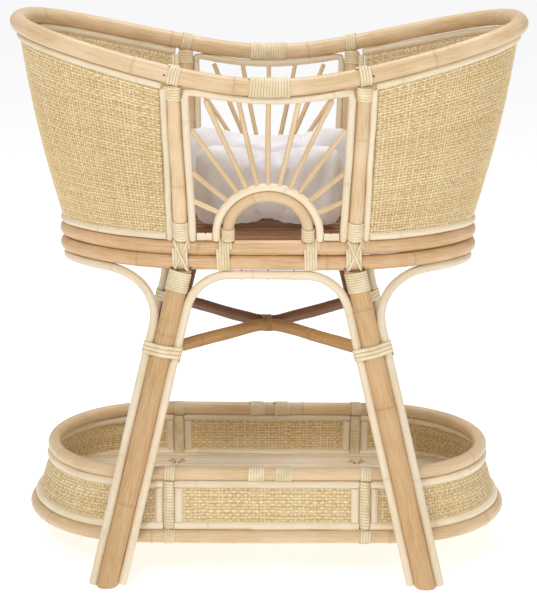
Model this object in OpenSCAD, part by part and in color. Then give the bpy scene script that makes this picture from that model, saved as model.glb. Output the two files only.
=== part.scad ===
// Rattan bassinet on a splayed stand with a storage basket below
// Millimetres. X runs along the length, -Y is the front, Z = 0 is the floor.

/* [Overall] */
// Length over the tips of the rim
overall_l = 900; // [760:5:1080]
// Width over the rim at mid length
overall_w = 522; // [460:2:626]
// Height of the rim's tips above the floor
overall_h = 975; // [940:5:1170]

/* [Poles] */
// Diameter of the rim pole
rim_d = 30; // [24:1:36]
// Diameter of the two hoops under the cradle
hoop_d = 26; // [20:1:31]
// Diameter of the thin edge poles
edge_d = 13; // [10:0.5:15]
// Clearance left between poles that are nailed side by side
pole_gap = 0.3; // [0.1:0.1:0.6]

/* [Cradle] */
// Dip of the rim from its tips to mid length
rim_dip = 86; // [50:1:103]
// Fullness of the rim's outline, where 2 is an ellipse
rim_fullness = 2.5; // [2:0.1:3]
// How sharply the dip is gathered at mid length
rim_sweep = 3; // [1:0.1:5]
// Height of the upper hoop's centre
hoop_z = 590; // [540:2:640]
// Length of the hoops along their centre line
hoop_l = 719; // [600:1:860]
// Width of the hoops along their centre line
hoop_w = 345; // [288:1:400]
// Straight stretch of the hoops at the front and back
hoop_straight = 200; // [120:2:260]
// Radius of the hoops at their ends
hoop_end_r = 90; // [70:1:120]
// Outward belly of the woven ends
wall_belly = 8; // [0:0.5:12]
// Thickness of the woven cane
cane_t = 3; // [2:0.2:4]

/* [Posts] */
// Diameter of the posts between hoops and rim
post_d = 25; // [20:0.5:30]
// Distance of a post's foot from mid length
post_foot_x = 147; // [135:1:165]
// Distance of a post's top from mid length
post_top_x = 157; // [148:1:180]

/* [Sunburst] */
// Diameter of the thin outer arch
sun_outer_d = 13; // [10:0.5:15]
// Radius of the outer arch along its centre line
sun_outer_r = 88; // [80:1:94]
// Diameter of the inner arch
sun_inner_d = 19; // [15:0.5:20]
// Radius of the inner arch along its centre line
sun_inner_r = 68; // [60:1:69]
// Length of the outer arch's straight feet
sun_rise = 10; // [4:1:14]
// Diameter of the spokes
spoke_d = 8; // [6:0.5:10]
// Depth that spoke ends are let into the poles they meet
spoke_set = 2; // [1:0.2:3]
// Angles of the spokes above the horizontal, one side and the middle
spoke_angles = [26, 42, 56.5, 67, 78.5, 90];

/* [Legs] */
// Diameter of the leg poles
leg_d = 36; // [30:1:43]
// Diameter of the thin poles beside the legs
side_d = 15; // [12:0.5:18]
// Distance of a foot from mid length
foot_x = 278; // [240:1:334]
// Distance of a foot from mid width
foot_y = 243; // [236:1:290]
// Distance of a leg's top from mid length
leg_top_x = 149; // [135:1:165]
// How far the thin poles stop above the floor
side_lift = 3; // [1:0.5:8]
// Radius of the arches under the hoops
arch_r = 76; // [50:1:90]
// Height of the cross brace
brace_z = 411; // [340:1:480]
// Diameter of the brace poles
brace_d = 22; // [18:0.5:26]
// Radius of the brace's bend at the centre
brace_bend_r = 34; // [24:1:50]
// Depth that the brace's ends are let into the legs
brace_set = 5; // [3:0.5:8]

/* [Storage basket] */
// Height of the top hoop's centre
shelf_top_z = 188; // [170:1:225]
// Height of the bottom hoop's centre
shelf_low_z = 77; // [65:1:92]
// Diameter of the storage basket's hoops
shelf_hoop_d = 24; // [20:0.5:28]
// Half length of the top hoop along its centre line
shelf_top_l = 392; // [340:1:470]
// Half length of the bottom hoop along its centre line
shelf_low_l = 426; // [370:1:500]
// How deep the legs are notched over the storage basket's hoops
shelf_notch = 0.4; // [0:0.1:2]
// Distance of the storage basket's posts from mid length
shelf_post_x = 172; // [150:1:190]
// Diameter of the storage basket's posts
shelf_post_d = 17; // [14:0.5:20]
// Diameter of the poles of the deck
deck_d = 14; // [11:0.5:16]
// Gap between neighbouring deck poles
deck_gap = 1.2; // [0.6:0.2:6]

/* [Cradle floor] */
// Diameter of the cross bearers
bearer_d = 16; // [12:0.5:18]
// Distances of the cross bearers from mid length
bearer_x = [108, 240];
// Diameter of the floor slats
slat_d = 13; // [10:0.5:15]
// Distance between neighbouring slats
slat_pitch = 30; // [24:1:40]

/* [Lashings] */
// Thickness of the cane bindings
bind_t = 2.4; // [1.6:0.2:3]
// Clearance between a binding and the pole inside it
bind_gap = 0.2; // [0.1:0.1:0.4]
// Width of the binding over the two hoops
hoop_bind_w = 22; // [16:1:28]
// Width of the binding over the two hoops at the arches
arch_strap_w = 18; // [12:1:22]
// Width of the rings round the inner arches' feet
arch_ring_w = 10; // [6:1:14]
// Length of the binding on a leg's top
leg_bind_l = 34; // [24:1:44]
// Width of the band half way down the legs
leg_band_w = 21; // [15:1:28]
// Width of the rings over the rim
rim_ring_w = 18; // [12:1:22]
// Length of the windings below the rim
post_bind_l = 26; // [18:1:34]
// Length of the binding on the scarf joints
scarf_l = 70; // [50:1:90]

/* [Bedding] */
// Length of the front pillow
front_pillow_l = 264; // [230:2:300]
// Length of the rear pillow
rear_pillow_l = 320; // [280:2:340]
// Thickness of the front pillow
front_pillow_t = 96; // [70:2:100]
// Height of the front pillow along its lean
front_pillow_h = 150; // [120:2:170]
// Thickness of the rear pillow
rear_pillow_t = 74; // [50:2:80]
// Height of the rear pillow along its lean
rear_pillow_h = 166; // [120:2:190]
// Room left round each soft piece
soft_gap = 5; // [4:0.5:10]

/* [Fasteners] */
// Diameter of the frame's nails
nail_d = 2; // [1.6:0.2:2.6]
// Length of the frame's nails
nail_l = 22; // [18:1:28]
// Diameter of the screws through the legs
screw_d = 5; // [4:0.5:6]
// Diameter of the screws' heads
screw_head_d = 9; // [7:0.5:11]

/* [Hidden] */

$fn = 64;
big = 3000;
bind_play = 0.6;
pole_sides = 10;
thin_sides = 8;
end_steps = 22;
tan_pole = "#d9b98c";
cream_pole = "#ead9b6";
cane_gold = "#d8bf83";
binding = "#ecdcb2";
brown_pole = "#a9794d";
linen = "#e4e1e6";

rim_half_l = (overall_l - rim_d) / 2;
rim_half_w = (overall_w - rim_d) / 2;
rim_tip_z = overall_h - rim_d / 2;
rim_mid_z = rim_tip_z - rim_dip;
hoop = [hoop_l / 2, hoop_w / 2, hoop_straight / 2, hoop_end_r];
low_hoop_z = hoop_z - hoop_d - pole_gap;
binding_room = bind_t + 2 * bind_gap;
edge_over_hoop = hoop_d / 2 + edge_d / 2 + binding_room;
edge_under_rim = rim_d / 2 + edge_d / 2 + binding_room;
post_pitch = post_d / 2 + edge_d / 2 + binding_room;
lean = atan2(rim_half_w - hoop[1], rim_mid_z - hoop_z);
arch_v = hoop_d / 2 + binding_room;
fan_v = arch_v + sun_rise;
leg_top_z = low_hoop_z - hoop_d / 2 - binding_room;
splay = atan2(foot_y - hoop[1], leg_top_z);
leg_to_shelf = (leg_d + shelf_hoop_d) / 2 / cos(splay) - shelf_notch;
shelf_top_w = foot_y - shelf_top_z * tan(splay) - leg_to_shelf;
shelf_low_w = foot_y - shelf_low_z * tan(splay) - leg_to_shelf;
leg_w = leg_top_z / cos(splay);
leg_lean = atan2(foot_x - leg_top_x, leg_w);
side_pitch = leg_d / 2 + side_d / 2 + pole_gap;
arch_line_z = leg_top_z - side_d / 2;
deck_z = shelf_low_z + shelf_hoop_d / 2 + deck_d / 2 + pole_gap;
shelf_lean = atan2(shelf_low_w - shelf_top_w, shelf_top_z - shelf_low_z);
floor_z = low_hoop_z + bearer_d / 2 + slat_d / 2 + pole_gap;
bed_z = floor_z + slat_d / 2 + pole_gap;

// ---- helpers -------------------------------------------------------------
function unit(v) = v / norm(v);
function mirror_x(path) = [for (p = path) [-p[0], p[1], p[2]]];

// A straight pole from p to q, shortened at either end and turned about its axis
module rod(p, q, d, trim_p = 0, trim_q = 0, turn = 0) {
  way = q - p;
  len = norm(way);
  translate(p)
    rotate([0, acos(way[2] / len), atan2(way[1], way[0])]) rotate([0, 0, turn])
      translate([0, 0, trim_p])
        cylinder(d = d, h = len - trim_p - trim_q);
}

// A binding wound round a straight pole, centred at a distance along it
module wound(p, q, d, at, len) {
  way = q - p;
  translate(p + unit(way) * at)
    rotate([0, acos(way[2] / norm(way)), atan2(way[1], way[0])])
      sleeve(d + 2 * bind_gap, len);
}

module sleeve(bore, len) {
  difference() {
    cylinder(d = bore + 2 * bind_t, h = len, center = true);
    cylinder(d = bore, h = len + 2, center = true);
  }
}

function tangent(p, i, closed) = let (n = len(p))
  closed ? unit(p[(i + 1) % n] - p[(i + n - 1) % n])
         : unit(p[min(i + 1, n - 1)] - p[max(i - 1, 0)]);

// Side vectors carried along an open path without twist
function carried(p, first) = [
  for (i = 0, s = square_to(first, tangent(p, 0, false)); i < len(p);
       i = i + 1, s = square_to(s, tangent(p, min(i, len(p) - 1), false))) s
];
function square_to(s, t) = unit(s - (s * t) * t);

// A pole bent along a path
module bent_pole(path, d, closed = false, sides = pole_sides) {
  n = len(path);
  side = closed ? [for (i = [0 : n - 1]) unit(cross(tangent(path, i, true), [0, 0, 1]))]
                : carried(path, [0.1, 1, 0.05]);
  points = [
    for (i = [0 : n - 1]) let (up = cross(side[i], tangent(path, i, closed)))
      for (k = [0 : sides - 1])
        path[i] + d / 2 * (cos(360 * k / sides) * side[i] + sin(360 * k / sides) * up)
  ];
  last = closed ? n - 1 : n - 2;
  walls = [
    for (i = [0 : last]) for (k = [0 : sides - 1]) let (
      j = (i + 1) % n, m = (k + 1) % sides,
      a = i * sides + k, b = i * sides + m, c = j * sides + m, e = j * sides + k
    ) each [[a, b, c], [a, c, e]]
  ];
  caps = closed ? [] : [
    [for (k = [sides - 1 : -1 : 0]) k],
    [for (k = [0 : sides - 1]) (n - 1) * sides + k]
  ];
  polyhedron(points, concat(walls, caps), convexity = 6);
}

// A sheet between an outer and an inner grid of points, rows along the first index
module sheet(outer, inner) {
  rows = len(outer);
  cols = len(outer[0]);
  all = concat([for (r = outer) each r], [for (r = inner) each r]);
  n = rows * cols;
  function at(i, j) = i * cols + j;
  front = [
    for (i = [0 : rows - 2]) for (j = [0 : cols - 2])
      each [[at(i, j), at(i + 1, j), at(i + 1, j + 1)], [at(i, j), at(i + 1, j + 1), at(i, j + 1)]]
  ];
  back = [for (f = front) [f[0] + n, f[2] + n, f[1] + n]];
  edge = concat(
    [for (j = [0 : cols - 1]) at(0, j)],
    [for (i = [1 : rows - 1]) at(i, cols - 1)],
    [for (j = [cols - 2 : -1 : 0]) at(rows - 1, j)],
    [for (i = [rows - 2 : -1 : 1]) at(i, 0)]
  );
  m = len(edge);
  rim = [
    for (k = [0 : m - 1]) let (a = edge[k], b = edge[(k + 1) % m])
      each [[a, b, b + n], [a, b + n, a + n]]
  ];
  polyhedron(all, concat(front, back, rim), convexity = 8);
}

// Oval of two arc radii a side: [half length, half width, half straight, end radius]
function side_r(o) = o[3]
  + (pow(o[1] - o[3], 2) + pow(o[0] - o[3] - o[2], 2)) / (2 * (o[1] - o[3]));
function join_a(o) = atan2(side_r(o) - o[1], o[0] - o[3] - o[2]);
function join_x(o) = o[0] - o[3] + o[3] * cos(join_a(o));
function oval_y(o, x) = let (r = side_r(o), a = abs(x))
  a <= o[2] ? o[1]
  : a <= join_x(o) ? o[1] - r + sqrt(r * r - pow(a - o[2], 2))
  : sqrt(max(0, o[3] * o[3] - pow(a - o[0] + o[3], 2)));
function grown(o, by) = [o[0] + by, o[1] + by, o[2], o[3] + by];
function oval_points(o, steps) = [
  for (i = [0 : steps - 1]) let (t = 360 * i / steps, x = o[0] * cos(t))
    [x, (sin(t) < 0 ? -1 : 1) * oval_y(o, x)]
];

module arc_pole(r, d, from, to) {
  rotate([0, 0, from])
    rotate_extrude(angle = to - from)
      translate([r, 0])
        circle(d = d);
}

module oval_hoop(o, d) {
  bent_pole([for (p = oval_points(o, 80)) [p[0], p[1], 0]], d, closed = true, sides = 12);
}

module round_hoop(l, w, d) {
  for (s = [0, 1]) mirror([s, 0, 0])
    translate([l - w, 0, 0]) arc_pole(w, d, -90, 90);
  for (y = [-w, w])
    rod([w - l, y, 0], [l - w, y, 0], d);
}

// ---- shape of the cradle's wall ------------------------------------------
function rim_z(x) = rim_mid_z + rim_dip
  * (sqrt(1 + pow(rim_sweep * x / rim_half_l, 2)) - 1) / (sqrt(1 + pow(rim_sweep, 2)) - 1);
function rim_y(x) = rim_half_w
  * pow(1 - pow(abs(x) / rim_half_l, rim_fullness), 1 / rim_fullness);
function power_of(v) = sign(v) * pow(abs(v), 2 / rim_fullness);
function rim_at(t) = let (x = rim_half_l * power_of(cos(t)))
  [x, rim_half_w * power_of(sin(t)), rim_z(x)];
function hoop_at(t) = let (x = hoop[0] * cos(t))
  [x, (sin(t) < 0 ? -1 : 1) * oval_y(hoop, x), hoop_z];

wall_foot_x = post_foot_x + post_pitch;
wall_top_x = post_top_x + post_pitch;
cane_from_post = edge_d / 2 + pole_gap;
function hoop_turn(x) = acos(x / hoop[0]);
function rim_turn(x) = acos(pow(x / rim_half_l, rim_fullness / 2));
pole_reach = [hoop_turn(wall_foot_x), rim_turn(wall_top_x)];
cane_reach = [hoop_turn(wall_foot_x + cane_from_post), rim_turn(wall_top_x + cane_from_post)];

// Wall of the right end: s runs -1..1 from front post to back post, d is the
// distance up from the hoop, or down from the rim where it is negative
function wall_out(a) = unit([a[0] / pow(hoop[0], 2), a[1] / pow(hoop[1], 2), 0]);
function wall_at(s, d, reach = pole_reach) = let (
    a = hoop_at(s * reach[0]),
    b = rim_at(s * reach[1]),
    len = norm(b - a),
    f = (d < 0 ? len + d : d) / len
  ) a + (b - a) * f + wall_out(a) * wall_belly * sin(180 * f);
function end_path(d, reach) = [
  for (i = [-end_steps : end_steps]) wall_at(reach * i / end_steps, d)
];

post_foot = [post_foot_x, -oval_y(hoop, post_foot_x), hoop_z];
post_top = [post_top_x, -rim_y(post_top_x), rim_z(post_top_x)];

// Repeats a front right piece at the other corners
module both_x() {
  for (s = [0, 1]) mirror([s, 0, 0]) children();
}
module all_corners() {
  for (f = [0, 1]) mirror([0, f, 0]) both_x() children();
}
// Lays a flat drawing (x, height, outward) on the leaning front between the posts
module on_front() {
  translate([0, -hoop[1], hoop_z]) rotate([90 + lean, 0, 0]) children();
}

// ---- cradle --------------------------------------------------------------
module top_rim() color(tan_pole)
  bent_pole([for (i = [0 : 95]) rim_at(360 * i / 96)], rim_d, closed = true, sides = 12);

// Rings over the rim at the posts, and the windings of its two scarf joints
scarf_rise = rim_z(scarf_l / 2) - rim_mid_z;
module rim_bindings() {
  step = 5;
  along = [1, -(rim_y(post_top_x + step) - rim_y(post_top_x - step)) / (2 * step),
           (rim_z(post_top_x + step) - rim_z(post_top_x - step)) / (2 * step)];
  color(binding) {
    for (y = [-rim_half_w, rim_half_w])
      translate([0, y, rim_mid_z + scarf_rise / 2]) rotate([0, 90, 0])
        sleeve(rim_d + scarf_rise + 4 * bind_gap, scarf_l);
    all_corners()
      wound(post_top - along, post_top + along, rim_d + bind_play, norm(along), rim_ring_w);
  }
}

module rim_edge_pole_right() color(cream_pole)
  bent_pole(end_path(-edge_under_rim, 1), edge_d, sides = thin_sides);
module rim_edge_pole_left() mirror([1, 0, 0]) rim_edge_pole_right();

// The base pole stops short of the posts' side poles
base_pole_reach = 0.94;
module base_edge_pole_right() color(cream_pole)
  bent_pole(end_path(edge_over_hoop, base_pole_reach), edge_d, sides = thin_sides);
module base_edge_pole_left() mirror([1, 0, 0]) base_edge_pole_right();

module end_cane_right() {
  from = edge_over_hoop + edge_d / 2 + pole_gap;
  to = edge_under_rim + edge_d / 2 + pole_gap + cane_t / 5;
  rows = 7;
  // A row of points up the wall, a share of the way between its two edges
  function row(i, thick) = [
    for (j = [-end_steps : end_steps]) let (
      s = j / end_steps,
      a = hoop_at(s * cane_reach[0]),
      b = rim_at(s * cane_reach[1]),
      len = norm(b - a),
      f = (from + (len - from - to) * i / rows) / len
    ) a + (b - a) * f + wall_out(a) * (wall_belly * sin(180 * f) + thick)
  ];
  color(cane_gold)
    sheet([for (i = [0 : rows]) row(i, cane_t / 2)], [for (i = [0 : rows]) row(i, -cane_t / 2)]);
}
module end_cane_left() mirror([1, 0, 0]) end_cane_right();

module post_front_right() color(tan_pole)
  rod(post_foot, post_top, post_d, hoop_d / 2 + binding_room, rim_d / 2 + binding_room + 1);
module post_front_left() mirror([1, 0, 0]) post_front_right();
module post_back_right() mirror([0, 1, 0]) post_front_right();
module post_back_left() mirror([0, 1, 0]) post_front_left();

module post_side_poles() {
  foot = [post_foot_x + post_pitch, -oval_y(hoop, post_foot_x + post_pitch), hoop_z];
  top = wall_at(-1, -edge_under_rim);
  color(cream_pole) all_corners()
    rod(foot, top, edge_d, hoop_d / 2 + binding_room, edge_d / 2 + pole_gap);
}

// Thin pole up one post, under the rim and down the other
frame_foot_x = post_foot_x - post_pitch;
frame_top_x = post_top_x - post_pitch;
frame_corner_r = 16;
function frame_v(x) = (rim_z(x) - scarf_rise - hoop_z) / cos(lean) - edge_under_rim;
function frame_half() = let (
    top = frame_v(frame_top_x - frame_corner_r),
    slope = (frame_top_x - frame_foot_x) / top
  ) concat(
    [[frame_foot_x + slope * hoop_d / 2, hoop_d / 2 + binding_room]],
    [for (a = [0 : 18 : 90]) [
      frame_top_x - frame_corner_r * (1 - cos(a)), top - frame_corner_r * (1 - sin(a))]]
  );
module sunburst_frame_front() {
  inner_x = frame_top_x - frame_corner_r;
  half = frame_half();
  top = [for (i = [1 : 11]) let (x = inner_x - 2 * inner_x * i / 12) [x, frame_v(x)]];
  flat = concat(half, top, [for (i = [len(half) - 1 : -1 : 0]) [-half[i][0], half[i][1]]]);
  color(cream_pole) on_front()
    bent_pole([for (p = flat) [p[0], p[1], 0]], edge_d, sides = thin_sides);
}
module sunburst_frame_back() mirror([0, 1, 0]) sunburst_frame_front();

// Short poles on the hoop between the posts and the outer arch
module base_edge_pole_front() {
  start = sun_outer_r + sun_outer_d / 2 + pole_gap;
  end = frame_foot_x - edge_d / 2 - pole_gap;
  color(cream_pole) on_front() both_x()
    rod([start, edge_over_hoop, 0], [end, edge_over_hoop, 0], edge_d);
}
module base_edge_pole_back() mirror([0, 1, 0]) base_edge_pole_front();

module upper_hoop() color(tan_pole) translate([0, 0, hoop_z]) oval_hoop(hoop, hoop_d);
module lower_hoop() color(tan_pole) translate([0, 0, low_hoop_z]) oval_hoop(hoop, hoop_d);

module arch(r, d, rise) on_front() translate([0, arch_v, 0]) {
  translate([0, rise, 0]) arc_pole(r, d, 0, 180);
  for (x = [-r, r]) rod([x, 0, 0], [x, rise, 0], d);
}
module outer_arch_front() color(cream_pole) arch(sun_outer_r, sun_outer_d, sun_rise);
module outer_arch_back() mirror([0, 1, 0]) outer_arch_front();

// The inner arch touches the outer one at its crown
arch_step = (sun_outer_d + sun_inner_d) / 2 + pole_gap;
inner_rise = sun_rise + sun_outer_r - sun_inner_r - arch_step;
module inner_arch_front() color(tan_pole) arch(sun_inner_r, sun_inner_d, inner_rise);
module inner_arch_back() mirror([0, 1, 0]) inner_arch_front();

// A spoke ends where its ray meets the frame's side or its top
function spoke_end(a) = let (
    side = frame_foot_x + (frame_top_x - frame_foot_x) * 0.5 - edge_d / 2,
    by_side = side / max(cos(a), 0.01),
    by_top = (frame_v(60) - edge_d / 2 - fan_v) / sin(a)
  ) min(by_side, by_top) + spoke_set;
module spokes_front() {
  angles = concat(spoke_angles, [for (a = spoke_angles) if (a < 90) 180 - a]);
  from = sun_outer_r + sun_outer_d / 2 - spoke_set;
  color(cream_pole) on_front() translate([0, fan_v, 0])
    for (a = angles) let (b = a > 90 ? 180 - a : a)
      rod([from * cos(a), from * sin(a), 0],
          [spoke_end(b) * cos(a), spoke_end(b) * sin(a), 0], spoke_d);
}
module spokes_back() mirror([0, 1, 0]) spokes_front();

module floor_bearers() color(tan_pole) both_x() for (x = bearer_x)
  let (y = oval_y(grown(hoop, -hoop_d / 2), x + bearer_d / 2) - pole_gap)
    rod([x, -y, low_hoop_z], [x, y, low_hoop_z], bearer_d);

module floor_slats() {
  room = hoop_d / 2 + slat_d / 2 + soft_gap;
  count = floor((hoop[1] - room) / slat_pitch);
  color(cream_pole) for (i = [-count : count]) let (
    y = i * slat_pitch,
    half = slat_reach(grown(hoop, -room), abs(y))
  ) rod([-half, y, floor_z], [half, y, floor_z], slat_d);
}
// Half length at which a lengthwise slat meets the oval
function slat_reach(o, y) = let (r = side_r(o), turn = o[3] * sin(join_a(o)))
  y <= turn ? o[0] - o[3] + sqrt(o[3] * o[3] - y * y)
            : o[2] + sqrt(r * r - pow(y - o[1] + r, 2));

// ---- bindings of the cradle ----------------------------------------------
module post_bindings() {
  len = norm(post_top - post_foot);
  color(binding) all_corners() {
    wound(post_foot, post_top, post_d,
          len - rim_d / 2 - 2 * binding_room - post_bind_l / 2 - 1, post_bind_l);
    wound(post_foot, post_top, post_d,
          hoop_d / 2 + 2 * binding_room + post_bind_l / 2, post_bind_l);
  }
}

// Closed strap over both hoops
module hoop_strap(x, w) {
  o = hoop;
  turn = abs(x) > o[2] ? asin((abs(x) - o[2]) / side_r(o)) : 0;
  bore = hoop_d + 2 * bind_gap + bind_play;
  drop = hoop_z - low_hoop_z;
  translate([x, -oval_y(o, x), hoop_z])
    rotate([90, 0, 90 + sign(x) * turn])
      linear_extrude(w, center = true) difference() {
        strap_outline(bore + 2 * bind_t, drop);
        strap_outline(bore, drop);
      }
}
module strap_outline(d, drop) {
  for (y = [0, -drop]) translate([0, y]) circle(d = d);
  translate([-d / 2, -drop]) square([d, drop]);
}
// Straps at the arches' feet and at the posts, and rings round the inner arches' feet
module hoop_bindings() {
  arch_x = (sun_outer_r + sun_inner_r) / 2;
  color(binding) for (f = [0, 1]) mirror([0, f, 0]) {
    for (x = [-arch_x, arch_x]) hoop_strap(x, arch_strap_w);
    for (x = [-post_foot_x, post_foot_x]) hoop_strap(x, hoop_bind_w);
    on_front() both_x()
      translate([sun_inner_r, arch_v + arch_ring_w / 2 + 1, 0]) rotate([90, 0, 0])
        sleeve(sun_inner_d + 2 * bind_play, arch_ring_w);
  }
}

// Nails through the thin poles into the hoops beside them
module frame_nails() {
  head = 0.5;
  top = edge_over_hoop + edge_d / 2 - head;
  base_x = (sun_outer_r + sun_outer_d / 2 + frame_foot_x - edge_d / 2) / 2;
  color("dimgray") for (f = [0, 1]) mirror([0, f, 0]) {
    for (x = [-base_x, base_x])
      on_front() rod([x, top - nail_l, 0], [x, top, 0], nail_d);
    for (x = [-45, 0, 45])
      translate([x, -hoop[1], arch_line_z - side_d / 2 + head]) cylinder(d = nail_d, h = nail_l);
  }
}

// ---- stand ---------------------------------------------------------------
// Point of the front legs' plane at x and a height along the plane
function leg_plane(x, w) = [x, -foot_y + w * sin(splay), w * cos(splay)];
leg_foot = leg_plane(foot_x, 0);
leg_top = leg_plane(leg_top_x, leg_w);

module leg_front_right() color(tan_pole) intersection() {
  rod(leg_foot, leg_top, leg_d, -leg_d, -leg_d, 45);
  translate([0, -big, 0]) cube([big, big, leg_top_z]);
}
module leg_front_left() mirror([1, 0, 0]) leg_front_right();
module leg_back_right() mirror([0, 1, 0]) leg_front_right();
module leg_back_left() mirror([0, 1, 0]) leg_front_left();

// Thin pole up one leg's inner side, under the hoops and down the other leg
inner_foot_x = foot_x - side_pitch / cos(leg_lean);
inner_corner_w = arch_line_z / cos(splay);
inner_corner_x = inner_foot_x - inner_corner_w * tan(leg_lean);
arch_turn = 90 - leg_lean;
arch_tangent = arch_r * tan(arch_turn / 2);
function arch_half() = concat(
  [leg_plane(inner_foot_x - side_lift * tan(leg_lean), side_lift)],
  [for (a = [leg_lean : (90 - leg_lean) / 7 : 90.01]) leg_plane(
    inner_corner_x - arch_tangent + arch_r * cos(a), inner_corner_w - arch_r + arch_r * sin(a))]
);
module front_arch_pole() {
  half = arch_half();
  back = [for (i = [len(half) - 1 : -1 : 0]) half[i]];
  color(cream_pole) bent_pole(concat(half, mirror_x(back)), side_d);
}
module back_arch_pole() mirror([0, 1, 0]) front_arch_pole();

// Thin pole up a leg's outer side, round under the hoops' end and down the back leg
outer_foot_x = foot_x + side_pitch / cos(leg_lean);
function outer_at(z) = let (w = z / cos(splay)) leg_plane(outer_foot_x - w * tan(leg_lean), w);
function hoop_under(t) = let (p = hoop_at(t)) [p[0], p[1], arch_line_z];
function bezier(a, b, c, d, t) =
  a * pow(1 - t, 3) + b * 3 * t * pow(1 - t, 2) + c * 3 * t * t * (1 - t) + d * pow(t, 3);
function end_arch_half() = let (
    leave_z = leg_top_z - 100,
    meet_t = -acos(0.78),
    leave = outer_at(leave_z),
    up = unit(outer_at(leave_z + 10) - leave),
    meet = hoop_under(meet_t),
    back = unit(hoop_under(meet_t - 3) - meet)
  ) concat(
    [outer_at(side_lift), outer_at(leave_z * 0.5)],
    [for (i = [0 : 11]) bezier(leave, leave + up * 62, meet + back * 62, meet, i / 12)],
    [for (i = [0 : 7]) hoop_under(meet_t * (1 - i / 8))]
  );
module right_end_arch_pole() {
  half = end_arch_half();
  n = len(half);
  path = concat(half, [hoop_under(0)],
    [for (i = [n - 1 : -1 : 0]) [half[i][0], -half[i][1], half[i][2]]]);
  color(cream_pole) bent_pole(path, side_d);
}
module left_end_arch_pole() mirror([1, 0, 0]) right_end_arch_pole();

module leg_top_bindings() color(binding) all_corners()
  wound(leg_foot, leg_top, leg_d, norm(leg_top - leg_foot) - leg_bind_l / 2 - leg_d / 4, leg_bind_l);

// Flat band round a leg and its two thin poles, drawn across the leg
module band_outline(grow) {
  circle(d = leg_d + grow);
  for (x = [-side_pitch, side_pitch]) translate([x, 0]) circle(d = side_d + grow);
  for (s = [-1, 1]) {
    c = s * side_pitch;
    a = acos((leg_d - side_d) / 2 / side_pitch);
    ra = (leg_d + grow) / 2;
    rb = (side_d + grow) / 2;
    polygon([
      [s * ra * cos(a), ra * sin(a)], [c + s * rb * cos(a), rb * sin(a)],
      [c + s * rb * cos(a), -rb * sin(a)], [s * ra * cos(a), -ra * sin(a)]
    ]);
  }
}
module leg_band_bindings() {
  w = brace_z / cos(splay);
  at = leg_plane(foot_x - w * tan(leg_lean), w);
  color(binding) all_corners() translate(at)
    rotate([-splay, 0, 0]) rotate([0, -leg_lean, 0])
      linear_extrude(leg_band_w, center = true) difference() {
        band_outline(2 * bind_gap + 2 * bind_t);
        band_outline(2 * bind_gap + 0.2);
      }
}

// Bent pole from leg to leg through the middle of the brace, its ends notched into the legs
module brace_front() {
  w = brace_z / cos(splay);
  leg = leg_plane(foot_x - w * tan(leg_lean), w);
  tip = brace_d / 2 + pole_gap / 2;
  centre = [0, -tip - brace_bend_r, brace_z];
  a = atan2(centre[1] - leg[1], leg[0])
    + asin(brace_bend_r / norm([leg[0], centre[1] - leg[1]]));
  start = centre + brace_bend_r * [sin(a), cos(a), 0];
  reach = (leg[0] - start[0]) / cos(a) - leg_d / 2 + brace_set;
  half = concat(
    [start + reach * [cos(a), -sin(a), 0]],
    [for (i = [0 : 4]) let (b = a * (1 - i / 4)) centre + brace_bend_r * [sin(b), cos(b), 0]]
  );
  back = [for (i = [len(half) - 2 : -1 : 0]) half[i]];
  color(tan_pole) bent_pole(concat(half, mirror_x(back)), brace_d, sides = 12);
}
module brace_back() mirror([0, 1, 0]) brace_front();

module brace_binding() color(binding)
  translate([0, 0, brace_z]) rotate([90, 0, 90])
    linear_extrude(15, center = true) difference() {
      square([2 * brace_d + 2 * bind_t + 3, brace_d + 2 * bind_t + 1], center = true);
      square([2 * brace_d + 3, brace_d + 1], center = true);
    }

// ---- storage basket ------------------------------------------------------
module shelf_top_hoop() color(tan_pole)
  translate([0, 0, shelf_top_z]) round_hoop(shelf_top_l, shelf_top_w, shelf_hoop_d);
module shelf_bottom_hoop() color(tan_pole)
  translate([0, 0, shelf_low_z]) round_hoop(shelf_low_l, shelf_low_w, shelf_hoop_d);

// Drawing plane of the front wall, height measured up from the bottom hoop
module on_shelf_front() {
  translate([0, -shelf_low_w, shelf_low_z]) rotate([90 - shelf_lean, 0, 0]) children();
}
shelf_v = (shelf_top_z - shelf_low_z) / cos(shelf_lean);
shelf_clear = shelf_hoop_d / 2 + binding_room;
module shelf_posts() color(tan_pole) for (f = [0, 1]) mirror([0, f, 0])
  on_shelf_front() both_x()
    rod([shelf_post_x, shelf_clear, 0], [shelf_post_x, shelf_v - shelf_clear, 0], shelf_post_d);

shelf_post_room = shelf_post_d / 2 + bind_t + bind_gap + edge_d / 2 + pole_gap;
shelf_edge_v = shelf_clear + edge_d / 2;
module shelf_frame_front() {
  x = shelf_post_x - shelf_post_room;
  top = shelf_v - shelf_edge_v;
  color(cream_pole) on_shelf_front() {
    for (v = [shelf_edge_v, top])
      rod([-x - edge_d / 2, v, 0], [x + edge_d / 2, v, 0], edge_d);
    both_x()
      rod([x, shelf_edge_v, 0], [x, top, 0], edge_d);
  }
}
module shelf_frame_back() mirror([0, 1, 0]) shelf_frame_front();

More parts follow.
